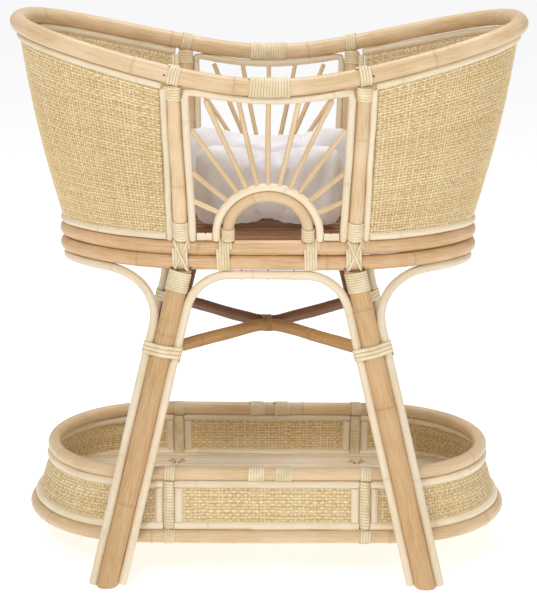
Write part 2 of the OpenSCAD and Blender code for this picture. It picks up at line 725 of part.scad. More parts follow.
// Middle of the storage basket's wall at a share of its height, from the post round the end
shelf_turns = 20;
function shelf_ring(f) = let (
    w = shelf_low_w + (shelf_top_w - shelf_low_w) * f,
    l = shelf_low_l + (shelf_top_l - shelf_low_l) * f,
    z = shelf_low_z + (shelf_top_z - shelf_low_z) * f,
    x0 = shelf_post_x + shelf_post_room
  ) concat(
    [[x0, -w, z]],
    [for (i = [0 : shelf_turns]) let (a = -90 + 180 * i / shelf_turns)
      [l - w + w * cos(a), w * sin(a), z]],
    [[x0, w, z]]
  );
function shelf_share(v) = v / shelf_v;
module shelf_frame_right() {
  low = shelf_share(shelf_edge_v);
  color(cream_pole) {
    for (f = [low, 1 - low]) bent_pole(shelf_ring(f), edge_d, sides = thin_sides);
    for (side = [0, 1]) mirror([0, side, 0]) on_shelf_front()
      rod([shelf_post_x + shelf_post_room, shelf_edge_v, 0],
          [shelf_post_x + shelf_post_room, shelf_v - shelf_edge_v, 0], edge_d);
  }
}
module shelf_frame_left() mirror([1, 0, 0]) shelf_frame_right();

cane_room = edge_d / 2 + pole_gap;
module shelf_cane_front() {
  x = shelf_post_x - shelf_post_room - cane_room;
  low = shelf_edge_v + cane_room;
  color(cane_gold) on_shelf_front()
    translate([-x, low, -cane_t / 2]) cube([2 * x, shelf_v - 2 * low, cane_t]);
}
module shelf_cane_back() mirror([0, 1, 0]) shelf_cane_front();

module shelf_cane_right() {
  low = shelf_share(shelf_edge_v + cane_room);
  x0 = shelf_post_x + shelf_post_room + cane_room;
  function pushed(f, by) = let (ring = shelf_ring(f), n = len(ring))
    [for (i = [0 : n - 1]) let (t = tangent(ring, i, false))
      [i == 0 || i == n - 1 ? x0 : ring[i][0] + by * t[1], ring[i][1] - by * t[0], ring[i][2]]];
  color(cane_gold)
    sheet([for (f = [low, 1 - low]) pushed(f, cane_t / 2)],
          [for (f = [low, 1 - low]) pushed(f, -cane_t / 2)]);
}
module shelf_cane_left() mirror([1, 0, 0]) shelf_cane_right();

deck_w = shelf_low_w - shelf_hoop_d / 2 - deck_d / 2;
deck_rows = floor((deck_w - 4) / (deck_d + deck_gap));
module shelf_deck() color(cream_pole) for (i = [-deck_rows : deck_rows]) let (
    y = i * (deck_d + deck_gap),
    r = shelf_low_w - edge_d / 2 - deck_d * 0.6,
    half = shelf_low_l - shelf_low_w + sqrt(r * r - y * y) - 3.5
  ) rod([-half, y, deck_z], [half, y, deck_z], deck_d);

module shelf_bearers() {
  y = shelf_low_w - shelf_hoop_d / 2 - pole_gap;
  z = deck_z - deck_d / 2 - bearer_d / 2 - pole_gap;
  color(tan_pole) both_x()
    rod([shelf_post_x, -y, z], [shelf_post_x, y, z], bearer_d);
}

module shelf_bindings() {
  post_l = shelf_v - 2 * shelf_clear - 1;
  color(binding) {
    for (f = [0, 1]) mirror([0, f, 0]) {
      on_shelf_front() both_x()
        translate([shelf_post_x, shelf_v / 2, 0]) rotate([90, 0, 0])
          sleeve(shelf_post_d + 2 * bind_gap, post_l);
      translate([0, -shelf_top_w, shelf_top_z]) rotate([0, 90, 0])
        sleeve(shelf_hoop_d + 2 * bind_gap, scarf_l);
    }
  }
}

// Screws from each leg into the two hoops that it passes
module shelf_screws() color("dimgray") all_corners() for (z = [shelf_top_z, shelf_low_z]) {
  w = z / cos(splay);
  leg = leg_plane(foot_x - w * tan(leg_lean), w);
  face = leg[1] - leg_d / 2 / cos(splay);
  translate([leg[0], face + 1, z]) rotate([-90, 0, 0]) {
    cylinder(d = screw_d, h = leg_d + shelf_hoop_d * 0.7);
    cylinder(d = screw_head_d, h = 3);
  }
}

// ---- bedding -------------------------------------------------------------
// Plain pillow leaning back, drawn by its outline across the length
module pillow_body(y, len, h, t, tilt) {
  r = t * 0.42;
  color(linen) translate([0, y, bed_z + soft_gap]) rotate([-tilt, 0, 0])
    translate([0, 0, t / 2 * sin(tilt)]) rotate([90, 0, 90])
      linear_extrude(len, center = true) {
        for (u = [-t / 2 + r, t / 2 - r]) for (v = [r, h - r]) translate([u, v]) circle(r);
        translate([-t / 2, r]) square([t, h - 2 * r]);
        translate([-t / 2 + r, 0]) square([t - 2 * r, h]);
      }
}
rear_pillow_y = hoop[1] - hoop_d / 2 - 2 * soft_gap - rear_pillow_t / 2;
front_pillow_y = rear_pillow_y - rear_pillow_t / 2 - front_pillow_t / 2 - 3 * soft_gap;
front_tilt = lean * 0.6;
module rear_pillow()
  pillow_body(rear_pillow_y, rear_pillow_l, rear_pillow_h, rear_pillow_t, lean);
module front_pillow()
  pillow_body(front_pillow_y, front_pillow_l, front_pillow_h, front_pillow_t, front_tilt);

top_rim();
rim_bindings();
rim_edge_pole_left();
rim_edge_pole_right();
sunburst_frame_front();
sunburst_frame_back();
post_front_left();
post_front_right();
post_back_left();
post_back_right();
post_side_poles();
end_cane_left();
end_cane_right();
base_edge_pole_left();
base_edge_pole_right();
base_edge_pole_front();
base_edge_pole_back();
upper_hoop();
lower_hoop();
outer_arch_front();
outer_arch_back();
inner_arch_front();
inner_arch_back();
spokes_front();
spokes_back();
floor_bearers();
floor_slats();
post_bindings();
hoop_bindings();
frame_nails();
leg_front_left();
leg_front_right();
leg_back_left();
leg_back_right();
front_arch_pole();
back_arch_pole();
left_end_arch_pole();
right_end_arch_pole();
leg_top_bindings();
leg_band_bindings();
brace_front();
brace_back();
brace_binding();
shelf_top_hoop();
shelf_bottom_hoop();
shelf_posts();
shelf_frame_front();
shelf_frame_back();
shelf_frame_left();
shelf_frame_right();
shelf_cane_front();
shelf_cane_back();
shelf_cane_left();
shelf_cane_right();
shelf_deck();
shelf_bearers();
shelf_bindings();
shelf_screws();
front_pillow();
rear_pillow();
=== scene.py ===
from math import atan2, acos, asin, cos, sin, tan, sqrt, pi, radians

import bpy
import numpy as np
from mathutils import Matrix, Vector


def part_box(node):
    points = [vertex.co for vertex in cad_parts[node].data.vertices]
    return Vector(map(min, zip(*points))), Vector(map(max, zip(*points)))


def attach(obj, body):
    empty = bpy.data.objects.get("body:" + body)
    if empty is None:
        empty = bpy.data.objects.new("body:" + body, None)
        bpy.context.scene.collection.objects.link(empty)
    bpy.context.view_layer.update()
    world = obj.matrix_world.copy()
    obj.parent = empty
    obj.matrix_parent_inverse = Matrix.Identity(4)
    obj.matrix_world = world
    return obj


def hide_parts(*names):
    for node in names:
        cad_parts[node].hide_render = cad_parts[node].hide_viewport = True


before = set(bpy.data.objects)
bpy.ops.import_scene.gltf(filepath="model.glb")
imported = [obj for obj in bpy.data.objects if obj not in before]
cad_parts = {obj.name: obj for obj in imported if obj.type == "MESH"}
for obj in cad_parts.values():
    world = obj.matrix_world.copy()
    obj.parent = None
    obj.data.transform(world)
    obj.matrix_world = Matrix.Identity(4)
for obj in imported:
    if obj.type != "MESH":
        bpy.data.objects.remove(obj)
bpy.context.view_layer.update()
bpy.ops.object.select_all(action="DESELECT")

# ---- Camera -------------------------------------------------------------------
# It stands in front at mid length, a little above the rim, and looks down on the
# cradle along its width.
CAMERA_PLACE = (0.0, -3.300, 1.2967)
CAMERA_DOWN = radians(14.317)
CAMERA_ROLL, CAMERA_TURN = radians(-0.27), 0.0008
CAMERA_LENS = 112.86
bpy.ops.object.camera_add(location=CAMERA_PLACE,
                          rotation=(pi / 2 - CAMERA_DOWN, CAMERA_ROLL, CAMERA_TURN))
camera = bpy.context.object
camera.name = "camera"
camera.data.lens = CAMERA_LENS
camera.data.sensor_width = 36.0
bpy.context.scene.camera = camera

# ---- Studio -------------------------------------------------------------------
# A white sweep of paper for floor, a bright even room, and three large soft lamps:
# a high one in front on the left, a weaker fill on the right and one from above.
bpy.ops.mesh.primitive_plane_add(size=24, location=(0, 0, 0))
floor = bpy.context.object
floor.name = "studio_floor"
paper = bpy.data.materials.new("studio_paper")
paper.use_nodes = True
paper.node_tree.nodes["Principled BSDF"].inputs["Base Color"].default_value = (0.8, 0.8, 0.8, 1)
paper.node_tree.nodes["Principled BSDF"].inputs["Roughness"].default_value = 0.9
paper.node_tree.nodes["Principled BSDF"].inputs["Emission Color"].default_value = (1, 1, 1, 1)
paper.node_tree.nodes["Principled BSDF"].inputs["Emission Strength"].default_value = 0.56
floor.data.materials.append(paper)

room = bpy.data.worlds.new("bright_room")
room.use_nodes = True
room.node_tree.nodes["Background"].inputs["Color"].default_value = (1.0, 1.0, 1.0, 1)
room.node_tree.nodes["Background"].inputs["Strength"].default_value = 0.46
backdrop = room.node_tree.nodes.new("ShaderNodeBackground")
backdrop.inputs["Color"].default_value = (1.0, 1.0, 1.0, 1)
backdrop.inputs["Strength"].default_value = 1.3
seen = room.node_tree.nodes.new("ShaderNodeLightPath")
either = room.node_tree.nodes.new("ShaderNodeMixShader")
room.node_tree.links.new(seen.outputs["Is Camera Ray"], either.inputs[0])
room.node_tree.links.new(room.node_tree.nodes["Background"].outputs[0], either.inputs[1])
room.node_tree.links.new(backdrop.outputs[0], either.inputs[2])
room.node_tree.links.new(either.outputs[0], room.node_tree.nodes["World Output"].inputs["Surface"])
bpy.context.scene.world = room
bpy.context.scene.view_settings.view_transform = "Standard"

def soft_lamp(name, place, aim, size, power, tint):
    bpy.ops.object.light_add(type="AREA", location=place)
    lamp = bpy.context.object
    lamp.name = name
    lamp.data.shape = "SQUARE"
    lamp.data.size = size
    lamp.data.energy = power
    lamp.data.color = tint
    way = np.array(aim, float) - np.array(place, float)
    flat = sqrt(way[0] ** 2 + way[1] ** 2)
    lamp.rotation_euler = (atan2(flat, -way[2]), 0, atan2(way[1], way[0]) - pi / 2)

soft_lamp("key_lamp", (-1.0, -2.6, 2.9), (0, 0, 0.5), 1.2, 44, (1.0, 0.985, 0.96))
soft_lamp("fill_lamp", (2.4, -1.8, 1.5), (0, 0, 0.5), 1.8, 13, (1.0, 0.99, 0.98))
soft_lamp("top_lamp", (0.2, 0.9, 3.2), (0, 0, 0.5), 1.8, 40, (1.0, 1.0, 1.0))

# ---- Rim pole -----------------------------------------------------------------
# One thick rattan pole steamed into a saddle-shaped loop and scarf-jointed at mid
# length. Rattan is smooth tan cane with a ridge every hand's length or two, where
# leaves grew, and fine fibres along it.
RIM_D = 0.030
RIM_HALF_L, RIM_HALF_W = 0.435, 0.246
RIM_TIP_Z, RIM_DIP = 0.960, 0.086
RIM_FULLNESS, RIM_SWEEP = 2.5, 3.0
RIM_MID_Z = RIM_TIP_Z - RIM_DIP
chance = np.random.default_rng(814)

def unit(v):
    v = np.asarray(v, float)
    return v / np.linalg.norm(v, axis=-1, keepdims=True)

def rim_height(x):
    swept = np.sqrt(1 + (RIM_SWEEP * np.asarray(x, float) / RIM_HALF_L) ** 2) - 1
    return RIM_MID_Z + RIM_DIP * swept / (sqrt(1 + RIM_SWEEP ** 2) - 1)

def rim_reach(x):
    return RIM_HALF_W * (1 - (abs(x) / RIM_HALF_L) ** RIM_FULLNESS) ** (1 / RIM_FULLNESS)

def rim_point(turn):
    """Point of the rim's centre line, where turn runs once round from the right tip."""
    c, s = np.cos(turn), np.sin(turn)
    x = RIM_HALF_L * np.sign(c) * np.abs(c) ** (2 / RIM_FULLNESS)
    y = RIM_HALF_W * np.sign(s) * np.abs(s) ** (2 / RIM_FULLNESS)
    return np.stack([x, y, rim_height(x)], -1)

def lengths(path):
    steps = np.linalg.norm(np.diff(path, axis=0), axis=1)
    return np.concatenate([[0], np.cumsum(steps)])

def at(path, run, s):
    return np.stack([np.interp(s, run, path[:, k]) for k in range(3)], -1)

def walk(path, stops, loop=False):
    """Points of a path at the distances in stops, with the way it runs there and two
    directions across it."""
    path = np.asarray(path, float)
    if loop:
        path = np.concatenate([path[-4:-1], path, path[1:4]])
    run = lengths(path)
    stops = np.asarray(stops, float) + (run[3] if loop else 0)
    points = at(path, run, stops)
    near = 0.002
    ahead, behind = stops + near, stops - near
    if not loop:
        ahead, behind = np.minimum(ahead, run[-1]), np.maximum(behind, 0)
    way = unit(at(path, run, ahead) - at(path, run, behind))
    if loop:
        side = unit(np.cross(way, [0, 0, 1.0]))
    else:
        side = np.zeros_like(way)
        last = unit(np.cross(way[0], [0.13, 0.91, 0.4]))
        for i, w in enumerate(way):
            last = unit(last - np.dot(last, w) * w)
            side[i] = last
    return points, way, side, np.cross(side, way)

def skin(name, runs, shade=None, ridge=None, length=None):
    """A mesh of closed tubes. runs holds, for each tube, its rings of points. A grid is
    wrapped round each tube, its long seam is merged and its ends are closed."""
    runs = np.asarray(runs, float)
    tubes, rings, sides = runs.shape[:3]
    bpy.ops.mesh.primitive_grid_add(x_subdivisions=sides, y_subdivisions=tubes * rings - 1, size=1)
    piece = bpy.context.object
    piece.name = piece.data.name = name
    mesh = piece.data
    wrapped = np.concatenate([runs, runs[:, :, :1]], axis=2).reshape(-1, 3)
    mesh.vertices.foreach_set("co", wrapped.astype(np.float32).ravel())
    tone = np.zeros(tubes) if shade is None else shade
    shades = mesh.attributes.new("shade", "FLOAT", "POINT")
    share = tubes * rings * (sides + 1) // len(tone)
    shades.data.foreach_set("value", np.repeat(tone, share).astype(np.float32))
    if ridge is not None:
        ridges = mesh.attributes.new("ridge", "FLOAT", "POINT")
        ridges.data.foreach_set("value", np.repeat(ridge, sides + 1).astype(np.float32))
    if length is not None:
        corner = np.zeros(len(mesh.loops), np.int32)
        mesh.loops.foreach_get("vertex_index", corner)
        uv = np.zeros(len(mesh.loops) * 2, np.float32)
        mesh.uv_layers[0].data.foreach_get("uv", uv)
        uv[1::2] = np.asarray(length)[corner // (sides + 1) % rings]
        mesh.uv_layers[0].data.foreach_set("uv", uv)
    bpy.ops.object.mode_set(mode="EDIT")
    bpy.ops.mesh.select_mode(type="EDGE")
    if tubes > 1:
        bpy.ops.mesh.select_all(action="DESELECT")
        bpy.ops.object.mode_set(mode="OBJECT")
        ends = np.zeros(len(mesh.edges) * 2, np.int32)
        mesh.edges.foreach_get("vertices", ends)
        tube = ends.reshape(-1, 2) // ((sides + 1) * rings)
        mesh.edges.foreach_set("select", tube[:, 0] != tube[:, 1])
        bpy.ops.object.mode_set(mode="EDIT")
        bpy.ops.mesh.delete(type="EDGE")
    bpy.ops.mesh.select_mode(type="VERT")
    bpy.ops.mesh.select_all(action="SELECT")
    bpy.ops.mesh.remove_doubles(threshold=1e-6)
    bpy.ops.mesh.fill_holes(sides=0)
    bpy.ops.mesh.select_all(action="SELECT")
    bpy.ops.mesh.normals_make_consistent(inside=False)
    bpy.ops.object.mode_set(mode="OBJECT")
    bpy.ops.object.shade_smooth_by_angle(angle=radians(40))
    bpy.ops.object.select_all(action="DESELECT")
    return piece

def dressed(piece, material, slot, body, *nodes):
    piece.data.materials.clear()
    piece.data.materials.append(material)
    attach(piece, body)
    if nodes:
        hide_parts(*nodes)
    return piece

def pole_rings(path, d, sides=16, loop=False, spacing=0.26, wander=0.0004, cut=0.0012, fine=0.012):
    """Rings of a rattan pole: ridges where leaves grew, a slight wander of its line and
    of its thickness, and eased edges at its cut ends."""
    path = np.asarray(path, float)
    total = lengths(path)[-1]
    ridges = np.arange(chance.uniform(0.2, 0.9) * spacing, total - 0.03, spacing)
    ridges = ridges + chance.uniform(-0.3, 0.3, len(ridges)) * spacing
    close = np.array([-0.006, -0.003, -0.0014, 0, 0.0014, 0.003, 0.006])
    stops = np.concatenate([np.linspace(0, total, max(4, int(total / fine))),
                            (ridges[:, None] + close).ravel()])
    stops = np.unique(np.round(stops[(stops >= 0) & (stops <= total)], 5))
    if not loop:
        between = stops[(stops > 2 * cut) & (stops < total - 2 * cut)]
        stops = np.concatenate([stops[:1], [cut * 0.35, cut], between,
                                [total - cut, total - cut * 0.35], stops[-1:]])
    points, way, side, up = walk(path, stops, loop)
    nearest = np.min(np.abs(stops[:, None] - ridges[None, :]), axis=1) if len(ridges) else stops * 0 + 1
    ridge = np.exp(-(nearest / 0.0022) ** 2)
    waves = 2 * pi * stops / total
    phase = chance.uniform(0, 2 * pi, 6)
    size = d / 2 * (1 + 0.012 * np.sin(3 * waves + phase[0]) + 0.008 * np.sin(7 * waves + phase[1]))
    size = size + 0.022 * d * ridge
    drift = wander * np.sin(2 * waves + phase[2]) + wander * 0.6 * np.sin(5 * waves + phase[3])
    sway = wander * np.sin(2 * waves + phase[4]) + wander * 0.6 * np.sin(4 * waves + phase[5])
    if not loop:
        size[[0, -1]] -= cut
        size[[1, -2]] -= cut * 0.35
        fade = np.minimum(1, np.minimum(stops, total - stops) / 0.05)
        drift, sway = drift * fade, sway * fade
    points = points + side * drift[:, None] + up * sway[:, None]
    turn = np.arange(sides) * 2 * pi / sides
    around = np.cos(turn)[None, :, None] * side[:, None] + np.sin(turn)[None, :, None] * up[:, None]
    return points[:, None] + size[:, None, None] * around, ridge, stops

def pole(name, path, d, material, slot, nodes=(), shade=None, **kw):
    rings, ridge, stops = pole_rings(path, d, **kw)
    tone = chance.uniform(-1, 1, 1) if shade is None else np.array([shade])
    piece = skin(name, rings[None], tone, ridge, stops)
    return dressed(piece, material, slot, "frame", *nodes)

def linear(r, g, b):
    """Screen colour from 0 to 255 as the shader's own numbers."""
    return tuple(((c / 255 + 0.055) / 1.055) ** 2.4 if c > 10 else c / 3295 for c in (r, g, b)) + (1.0,)

def shader(name):
    material = bpy.data.materials.new(name)
    material.use_nodes = True
    return material, material.node_tree.nodes, material.node_tree.links

def maths(nodes, links, operation, a, b=None, c=None):
    node = nodes.new("ShaderNodeMath")
    node.operation = operation
    for socket, value in zip(node.inputs, (a, b, c)):
        if value is None:
            continue
        if isinstance(value, (int, float)):
            socket.default_value = value
        else:
            links.new(value, socket)
    return node.outputs[0]

def noise(nodes, links, vector, scale, detail=3.0, rough=0.55):
    node = nodes.new("ShaderNodeTexNoise")
    node.inputs["Scale"].default_value = scale
    node.inputs["Detail"].default_value = detail
    node.inputs["Roughness"].default_value = rough
    links.new(vector, node.inputs["Vector"])
    return node.outputs["Fac"]

def ramp(nodes, links, value, stops):
    node = nodes.new("ShaderNodeValToRGB")
    bands = node.color_ramp.elements
    bands[0].position, bands[0].color = stops[0]
    bands[1].position, bands[1].color = stops[-1]
    for place, colour in stops[1:-1]:
        bands.new(place).color = colour
    links.new(value, node.inputs["Fac"])
    return node.outputs["Color"]

def blend(nodes, links, kind, fac, a, b):
    node = nodes.new("ShaderNodeMix")
    node.data_type = "RGBA"
    node.blend_type = kind
    for socket, value in ((node.inputs[0], fac), (node.inputs[6], a), (node.inputs[7], b)):
        if isinstance(value, (int, float, tuple)):
            socket.default_value = value
        else:
            links.new(value, socket)
    return node.outputs[2]

def fibre_coordinates(nodes, links, around, along):
    """Seamless coordinates on a pole: round it on a circle, and along it in metres."""
    uv = nodes.new("ShaderNodeUVMap")
    uv.uv_map = "UVMap"
    parts = nodes.new("ShaderNodeSeparateXYZ")
    links.new(uv.outputs["UV"], parts.inputs[0])
    turn = maths(nodes, links, "MULTIPLY", parts.outputs["X"], 2 * pi)
    joined = nodes.new("ShaderNodeCombineXYZ")
    c = maths(nodes, links, "COSINE", turn)
    s = maths(nodes, links, "SINE", turn)
    links.new(maths(nodes, links, "MULTIPLY", c, around), joined.inputs["X"])
    links.new(maths(nodes, links, "MULTIPLY", s, around), joined.inputs["Y"])
    shade = attribute(nodes, "shade")
    moved = maths(nodes, links, "MULTIPLY_ADD", shade, 37.0,
                  maths(nodes, links, "MULTIPLY", parts.outputs["Y"], along))
    links.new(moved, joined.inputs["Z"])
    return joined.outputs[0]

def attribute(nodes, name):
    node = nodes.new("ShaderNodeAttribute")
    node.attribute_name = name
    return node.outputs["Fac"]

def relief(nodes, links, height, strength, distance=0.0003):
    """Fine grain that can be felt, from a height between 0 and 1."""
    bump = nodes.new("ShaderNodeBump")
    bump.inputs["Strength"].default_value = strength
    bump.inputs["Distance"].default_value = distance
    links.new(height, bump.inputs["Height"])
    links.new(bump.outputs[0], nodes["Principled BSDF"].inputs["Normal"])

def rattan(name, dark, light, patch, ring_colour, roughness, fibre=0.5):
    """Skin of a rattan pole: long fibres, soft patches, and a thin line at each ridge."""
    material, nodes, links = shader(name)
    surface = nodes["Principled BSDF"]
    fibres = noise(nodes, links, fibre_coordinates(nodes, links, 3.2, 9.0), 2.6, 5.0, 0.6)
    place = nodes.new("ShaderNodeTexCoord").outputs["Object"]
    patches = noise(nodes, links, place, 11.0, 3.0)
    grain = ramp(nodes, links, fibres, [(0.30, dark), (0.68, light)])
    clouds = ramp(nodes, links, patches, [(0.38, (0, 0, 0, 1)), (0.66, (1, 1, 1, 1))])
    colour = blend(nodes, links, "MIX", maths(nodes, links, "MULTIPLY", clouds, 0.55), grain, patch)
    tone = maths(nodes, links, "MULTIPLY_ADD", attribute(nodes, "shade"), 0.07, 1.0)
    toned = nodes.new("ShaderNodeHueSaturation")
    links.new(tone, toned.inputs["Value"])
    links.new(colour, toned.inputs["Color"])
    line = maths(nodes, links, "MULTIPLY", attribute(nodes, "ridge"), 0.3)
    final = blend(nodes, links, "MIX", line, toned.outputs[0], ring_colour)
    links.new(final, surface.inputs["Base Color"])
    surface.inputs["Roughness"].default_value = roughness
    surface.inputs["Coat Weight"].default_value = 0.12
    surface.inputs["Coat Roughness"].default_value = 0.3
    relief(nodes, links, fibres, fibre, 0.0004)
    return material

tan_rattan = rattan("tan_rattan_skin", linear(194, 162, 116), linear(226, 198, 156),
                    linear(232, 206, 172), linear(160, 120, 78), 0.4)
cream_rattan = rattan("cream_rattan_skin", linear(218, 196, 156), linear(242, 228, 200),
                      linear(240, 226, 206), linear(196, 166, 124), 0.44)

ROUND = np.linspace(0, 2 * pi, 721)
rim_path = rim_point(ROUND)
pole("rim_pole", rim_path, RIM_D - 0.0009, tan_rattan, "tan_rattan", ["top_rim"],
     loop=True, sides=22, spacing=0.31, shade=0.2)

# ---- Hoops --------------------------------------------------------------------
# Two tan poles bent to the same long oval and stacked, with a dark seam between
# them. The cradle's walls stand on the upper one and the legs hold the lower one.
HOOP_HALF_L, HOOP_HALF_W = 0.3595, 0.1725
HOOP_STRAIGHT, HOOP_END_R = 0.100, 0.090
HOOP_D, HOOP_Z = 0.026, 0.590
LOW_HOOP_Z = HOOP_Z - HOOP_D - 0.0003
HOOP_SIDE_R = HOOP_END_R + ((HOOP_HALF_W - HOOP_END_R) ** 2
    + (HOOP_HALF_L - HOOP_END_R - HOOP_STRAIGHT) ** 2) / (2 * (HOOP_HALF_W - HOOP_END_R))
HOOP_JOIN = atan2(HOOP_SIDE_R - HOOP_HALF_W, HOOP_HALF_L - HOOP_END_R - HOOP_STRAIGHT)
HOOP_JOIN_X = HOOP_HALF_L - HOOP_END_R + HOOP_END_R * cos(HOOP_JOIN)

def hoop_reach(x):
    """Half width of the hoops' oval at a distance from mid length."""
    a = abs(x)
    if a <= HOOP_STRAIGHT:
        return HOOP_HALF_W
    if a <= HOOP_JOIN_X:
        return HOOP_HALF_W - HOOP_SIDE_R + sqrt(HOOP_SIDE_R ** 2 - (a - HOOP_STRAIGHT) ** 2)
    return sqrt(max(0, HOOP_END_R ** 2 - (a - HOOP_HALF_L + HOOP_END_R) ** 2))

def hoop_point(turn, z=HOOP_Z):
    x = HOOP_HALF_L * cos(turn)
    return np.array([x, (1 if sin(turn) >= 0 else -1) * hoop_reach(x), z])

hoop_path = np.array([hoop_point(t) for t in ROUND])
# Darker, warmer tan for the hoops: partly their own colour, partly painted shade matched to the shaded
# look of the upper hoop, which is also set a little darker than the lower.
hoop_rattan = rattan("hoop_rattan_skin", linear(184, 144, 96), linear(222, 186, 140),
                     linear(232, 192, 154), linear(150, 106, 66), 0.36)
pole("upper_hoop_pole", hoop_path, HOOP_D, hoop_rattan, "tan_rattan", ["upper_hoop"],
     loop=True, sides=20, spacing=0.33, shade=-0.3)
pole("lower_hoop_pole", hoop_path - [0, 0, HOOP_Z - LOW_HOOP_Z], HOOP_D, hoop_rattan, "tan_rattan",
     ["lower_hoop"], loop=True, sides=20, spacing=0.29, shade=0.1)

# ---- Thin poles along the hoop and the rim ------------------------------------
# Pale split-free cane as thick as a finger. It covers the edges of the woven ends,
# under the rim and on the hoop. Short lengths of it lie on the hoop between the
# posts and the sunburst's arches.
EDGE_D = 0.013
SNUG = 0.0006
POST_D = 0.025
POST_FOOT_X, POST_TOP_X = 0.147, 0.157
POST_PITCH = POST_D / 2 + EDGE_D / 2 + 0.0003
WALL_BELLY = 0.008
OVER_HOOP = HOOP_D / 2 + EDGE_D / 2 + SNUG
UNDER_RIM = RIM_D / 2 + EDGE_D / 2 + SNUG
LEAN = atan2(RIM_HALF_W - HOOP_HALF_W, RIM_MID_Z - HOOP_Z)

def wall_turns(inset):
    """Turns on the hoop and on the rim at which the end wall starts beside a post."""
    return (acos((POST_FOOT_X + POST_PITCH + inset) / HOOP_HALF_L),
            acos(((POST_TOP_X + POST_PITCH + inset) / RIM_HALF_L) ** (RIM_FULLNESS / 2)))

def wall_frame(s, turns, end):
    """Foot, head and outward way of the end wall at a share s from its front to its back."""
    foot, head = hoop_point(s * turns[0]), rim_point(np.array(s * turns[1]))
    out = unit([foot[0] / HOOP_HALF_L ** 2, foot[1] / HOOP_HALF_W ** 2, 0])
    flip = np.array([end, 1, 1])
    return foot * flip, head * flip, out * flip

def wall_path(end, height=None, drop=None, reach=1.0, steps=120):
    points = []
    for s in np.linspace(-reach, reach, steps):
        foot, head, out = wall_frame(s, wall_turns(0), end)
        tall = np.linalg.norm(head - foot)
        f = height / tall if drop is None else 1 - drop / tall
        points.append(foot + (head - foot) * f + out * WALL_BELLY * sin(pi * f))
    return np.array(points)

def on_front(x, v, out=0.0, back=False):
    """Point of the leaning side between the posts: x, height up it, distance outwards."""
    y = -HOOP_HALF_W - v * sin(LEAN) - out * cos(LEAN)
    return np.array([x, -y if back else y, HOOP_Z + v * cos(LEAN) - out * sin(LEAN)])

FRAME_FOOT_X, FRAME_TOP_X = POST_FOOT_X - POST_PITCH, POST_TOP_X - POST_PITCH
OUTER_ARCH_R, OUTER_ARCH_D = 0.088, 0.0136
for end, side in ((1, "right"), (-1, "left")):
    pole("under_rim_pole_" + side, wall_path(end, drop=UNDER_RIM), EDGE_D, cream_rattan,
         "cream_rattan", ["rim_edge_pole_" + side], sides=14, spacing=0.34)
    pole("hoop_edge_pole_" + side, wall_path(end, height=OVER_HOOP, reach=0.985), EDGE_D,
         cream_rattan, "cream_rattan", ["base_edge_pole_" + side], sides=14, spacing=0.3)
for back, side in ((False, "front"), (True, "back")):
    for end, part in ((1, "right"), (-1, "left")):
        line = [on_front(end * x, OVER_HOOP, 0, back)
                for x in np.linspace(OUTER_ARCH_R + OUTER_ARCH_D / 2, FRAME_FOOT_X - EDGE_D / 2, 8)]
        pole("hoop_edge_pole_%s_%s" % (side, part), line, EDGE_D, cream_rattan, "cream_rattan",
             ["base_edge_pole_" + side], sides=14, spacing=9)

# ---- Posts and the frames beside them -----------------------------------------
# Four tan posts stand between hoop and rim. A thin pale pole climbs each side of a
# post. The inner two turn under the rim with tight corners and join as one frame.
CORNER_R = 0.008

def frame_height(x):
    return (float(rim_height(x)) - HOOP_Z) / cos(LEAN) - UNDER_RIM

def sunburst_frame(back):
    top = frame_height(FRAME_TOP_X - CORNER_R)
    slope = (FRAME_TOP_X - FRAME_FOOT_X) / top
    half = [(FRAME_FOOT_X + slope * v, v) for v in np.linspace(HOOP_D / 2, top - CORNER_R * 1.2, 30)]
    half += [(FRAME_TOP_X - CORNER_R * (1 - cos(a)), top - CORNER_R * (1 - sin(a)))
             for a in np.linspace(0.12, pi / 2, 12)]
    across = [(x, frame_height(x)) for x in np.linspace(FRAME_TOP_X - CORNER_R, 0, 24)[1:]]
    flat = half + across
    flat = flat + [(-x, v) for x, v in flat[-2::-1]]
    return [on_front(x, v, 0, back) for x, v in flat]

for back, side in ((False, "front"), (True, "back")):
    pole("sunburst_surround_" + side, sunburst_frame(back), EDGE_D, cream_rattan, "cream_rattan",
         ["sunburst_frame_" + side], sides=14, spacing=0.27, wander=0.0003)

side_runs, side_ridges, post_lines = [], [], {}
for back in (-1, 1):
    for end in (-1, 1):
        foot = np.array([end * POST_FOOT_X, back * hoop_reach(POST_FOOT_X), HOOP_Z])
        head = np.array([end * POST_TOP_X, back * rim_reach(POST_TOP_X), float(rim_height(POST_TOP_X))])
        way = unit(head - foot)
        name = "post_" + ("front_" if back < 0 else "back_") + ("left" if end < 0 else "right")
        post_lines[(end, back)] = (foot, head)
        line = [foot + way * (HOOP_D / 2 + 0.0008), head - way * (RIM_D / 2 + 0.001)]
        pole(name + "_pole", np.linspace(line[0], line[1], 60), POST_D, tan_rattan,
             "tan_rattan", [name], sides=18, spacing=0.2)
        x = POST_FOOT_X + POST_PITCH
        low = np.array([end * x, back * hoop_reach(x), HOOP_Z])
        high = wall_path(end, drop=UNDER_RIM)[0 if back < 0 else -1] - [end * 0.0025, 0, 0]
        way = unit(high - low)
        line = np.linspace(low + way * HOOP_D / 2, high - way * EDGE_D * 0.4, 40)
        rings, ridge, stops = pole_rings(line, EDGE_D, sides=12, spacing=9.0)
        side_runs.append(rings)
        side_ridges.append(ridge)
side_poles = skin("post_outer_poles", np.array(side_runs), chance.uniform(-1, 1, 4),
                  np.concatenate(side_ridges), stops)
dressed(side_poles, cream_rattan, "cream_rattan", "frame", "post_side_poles")

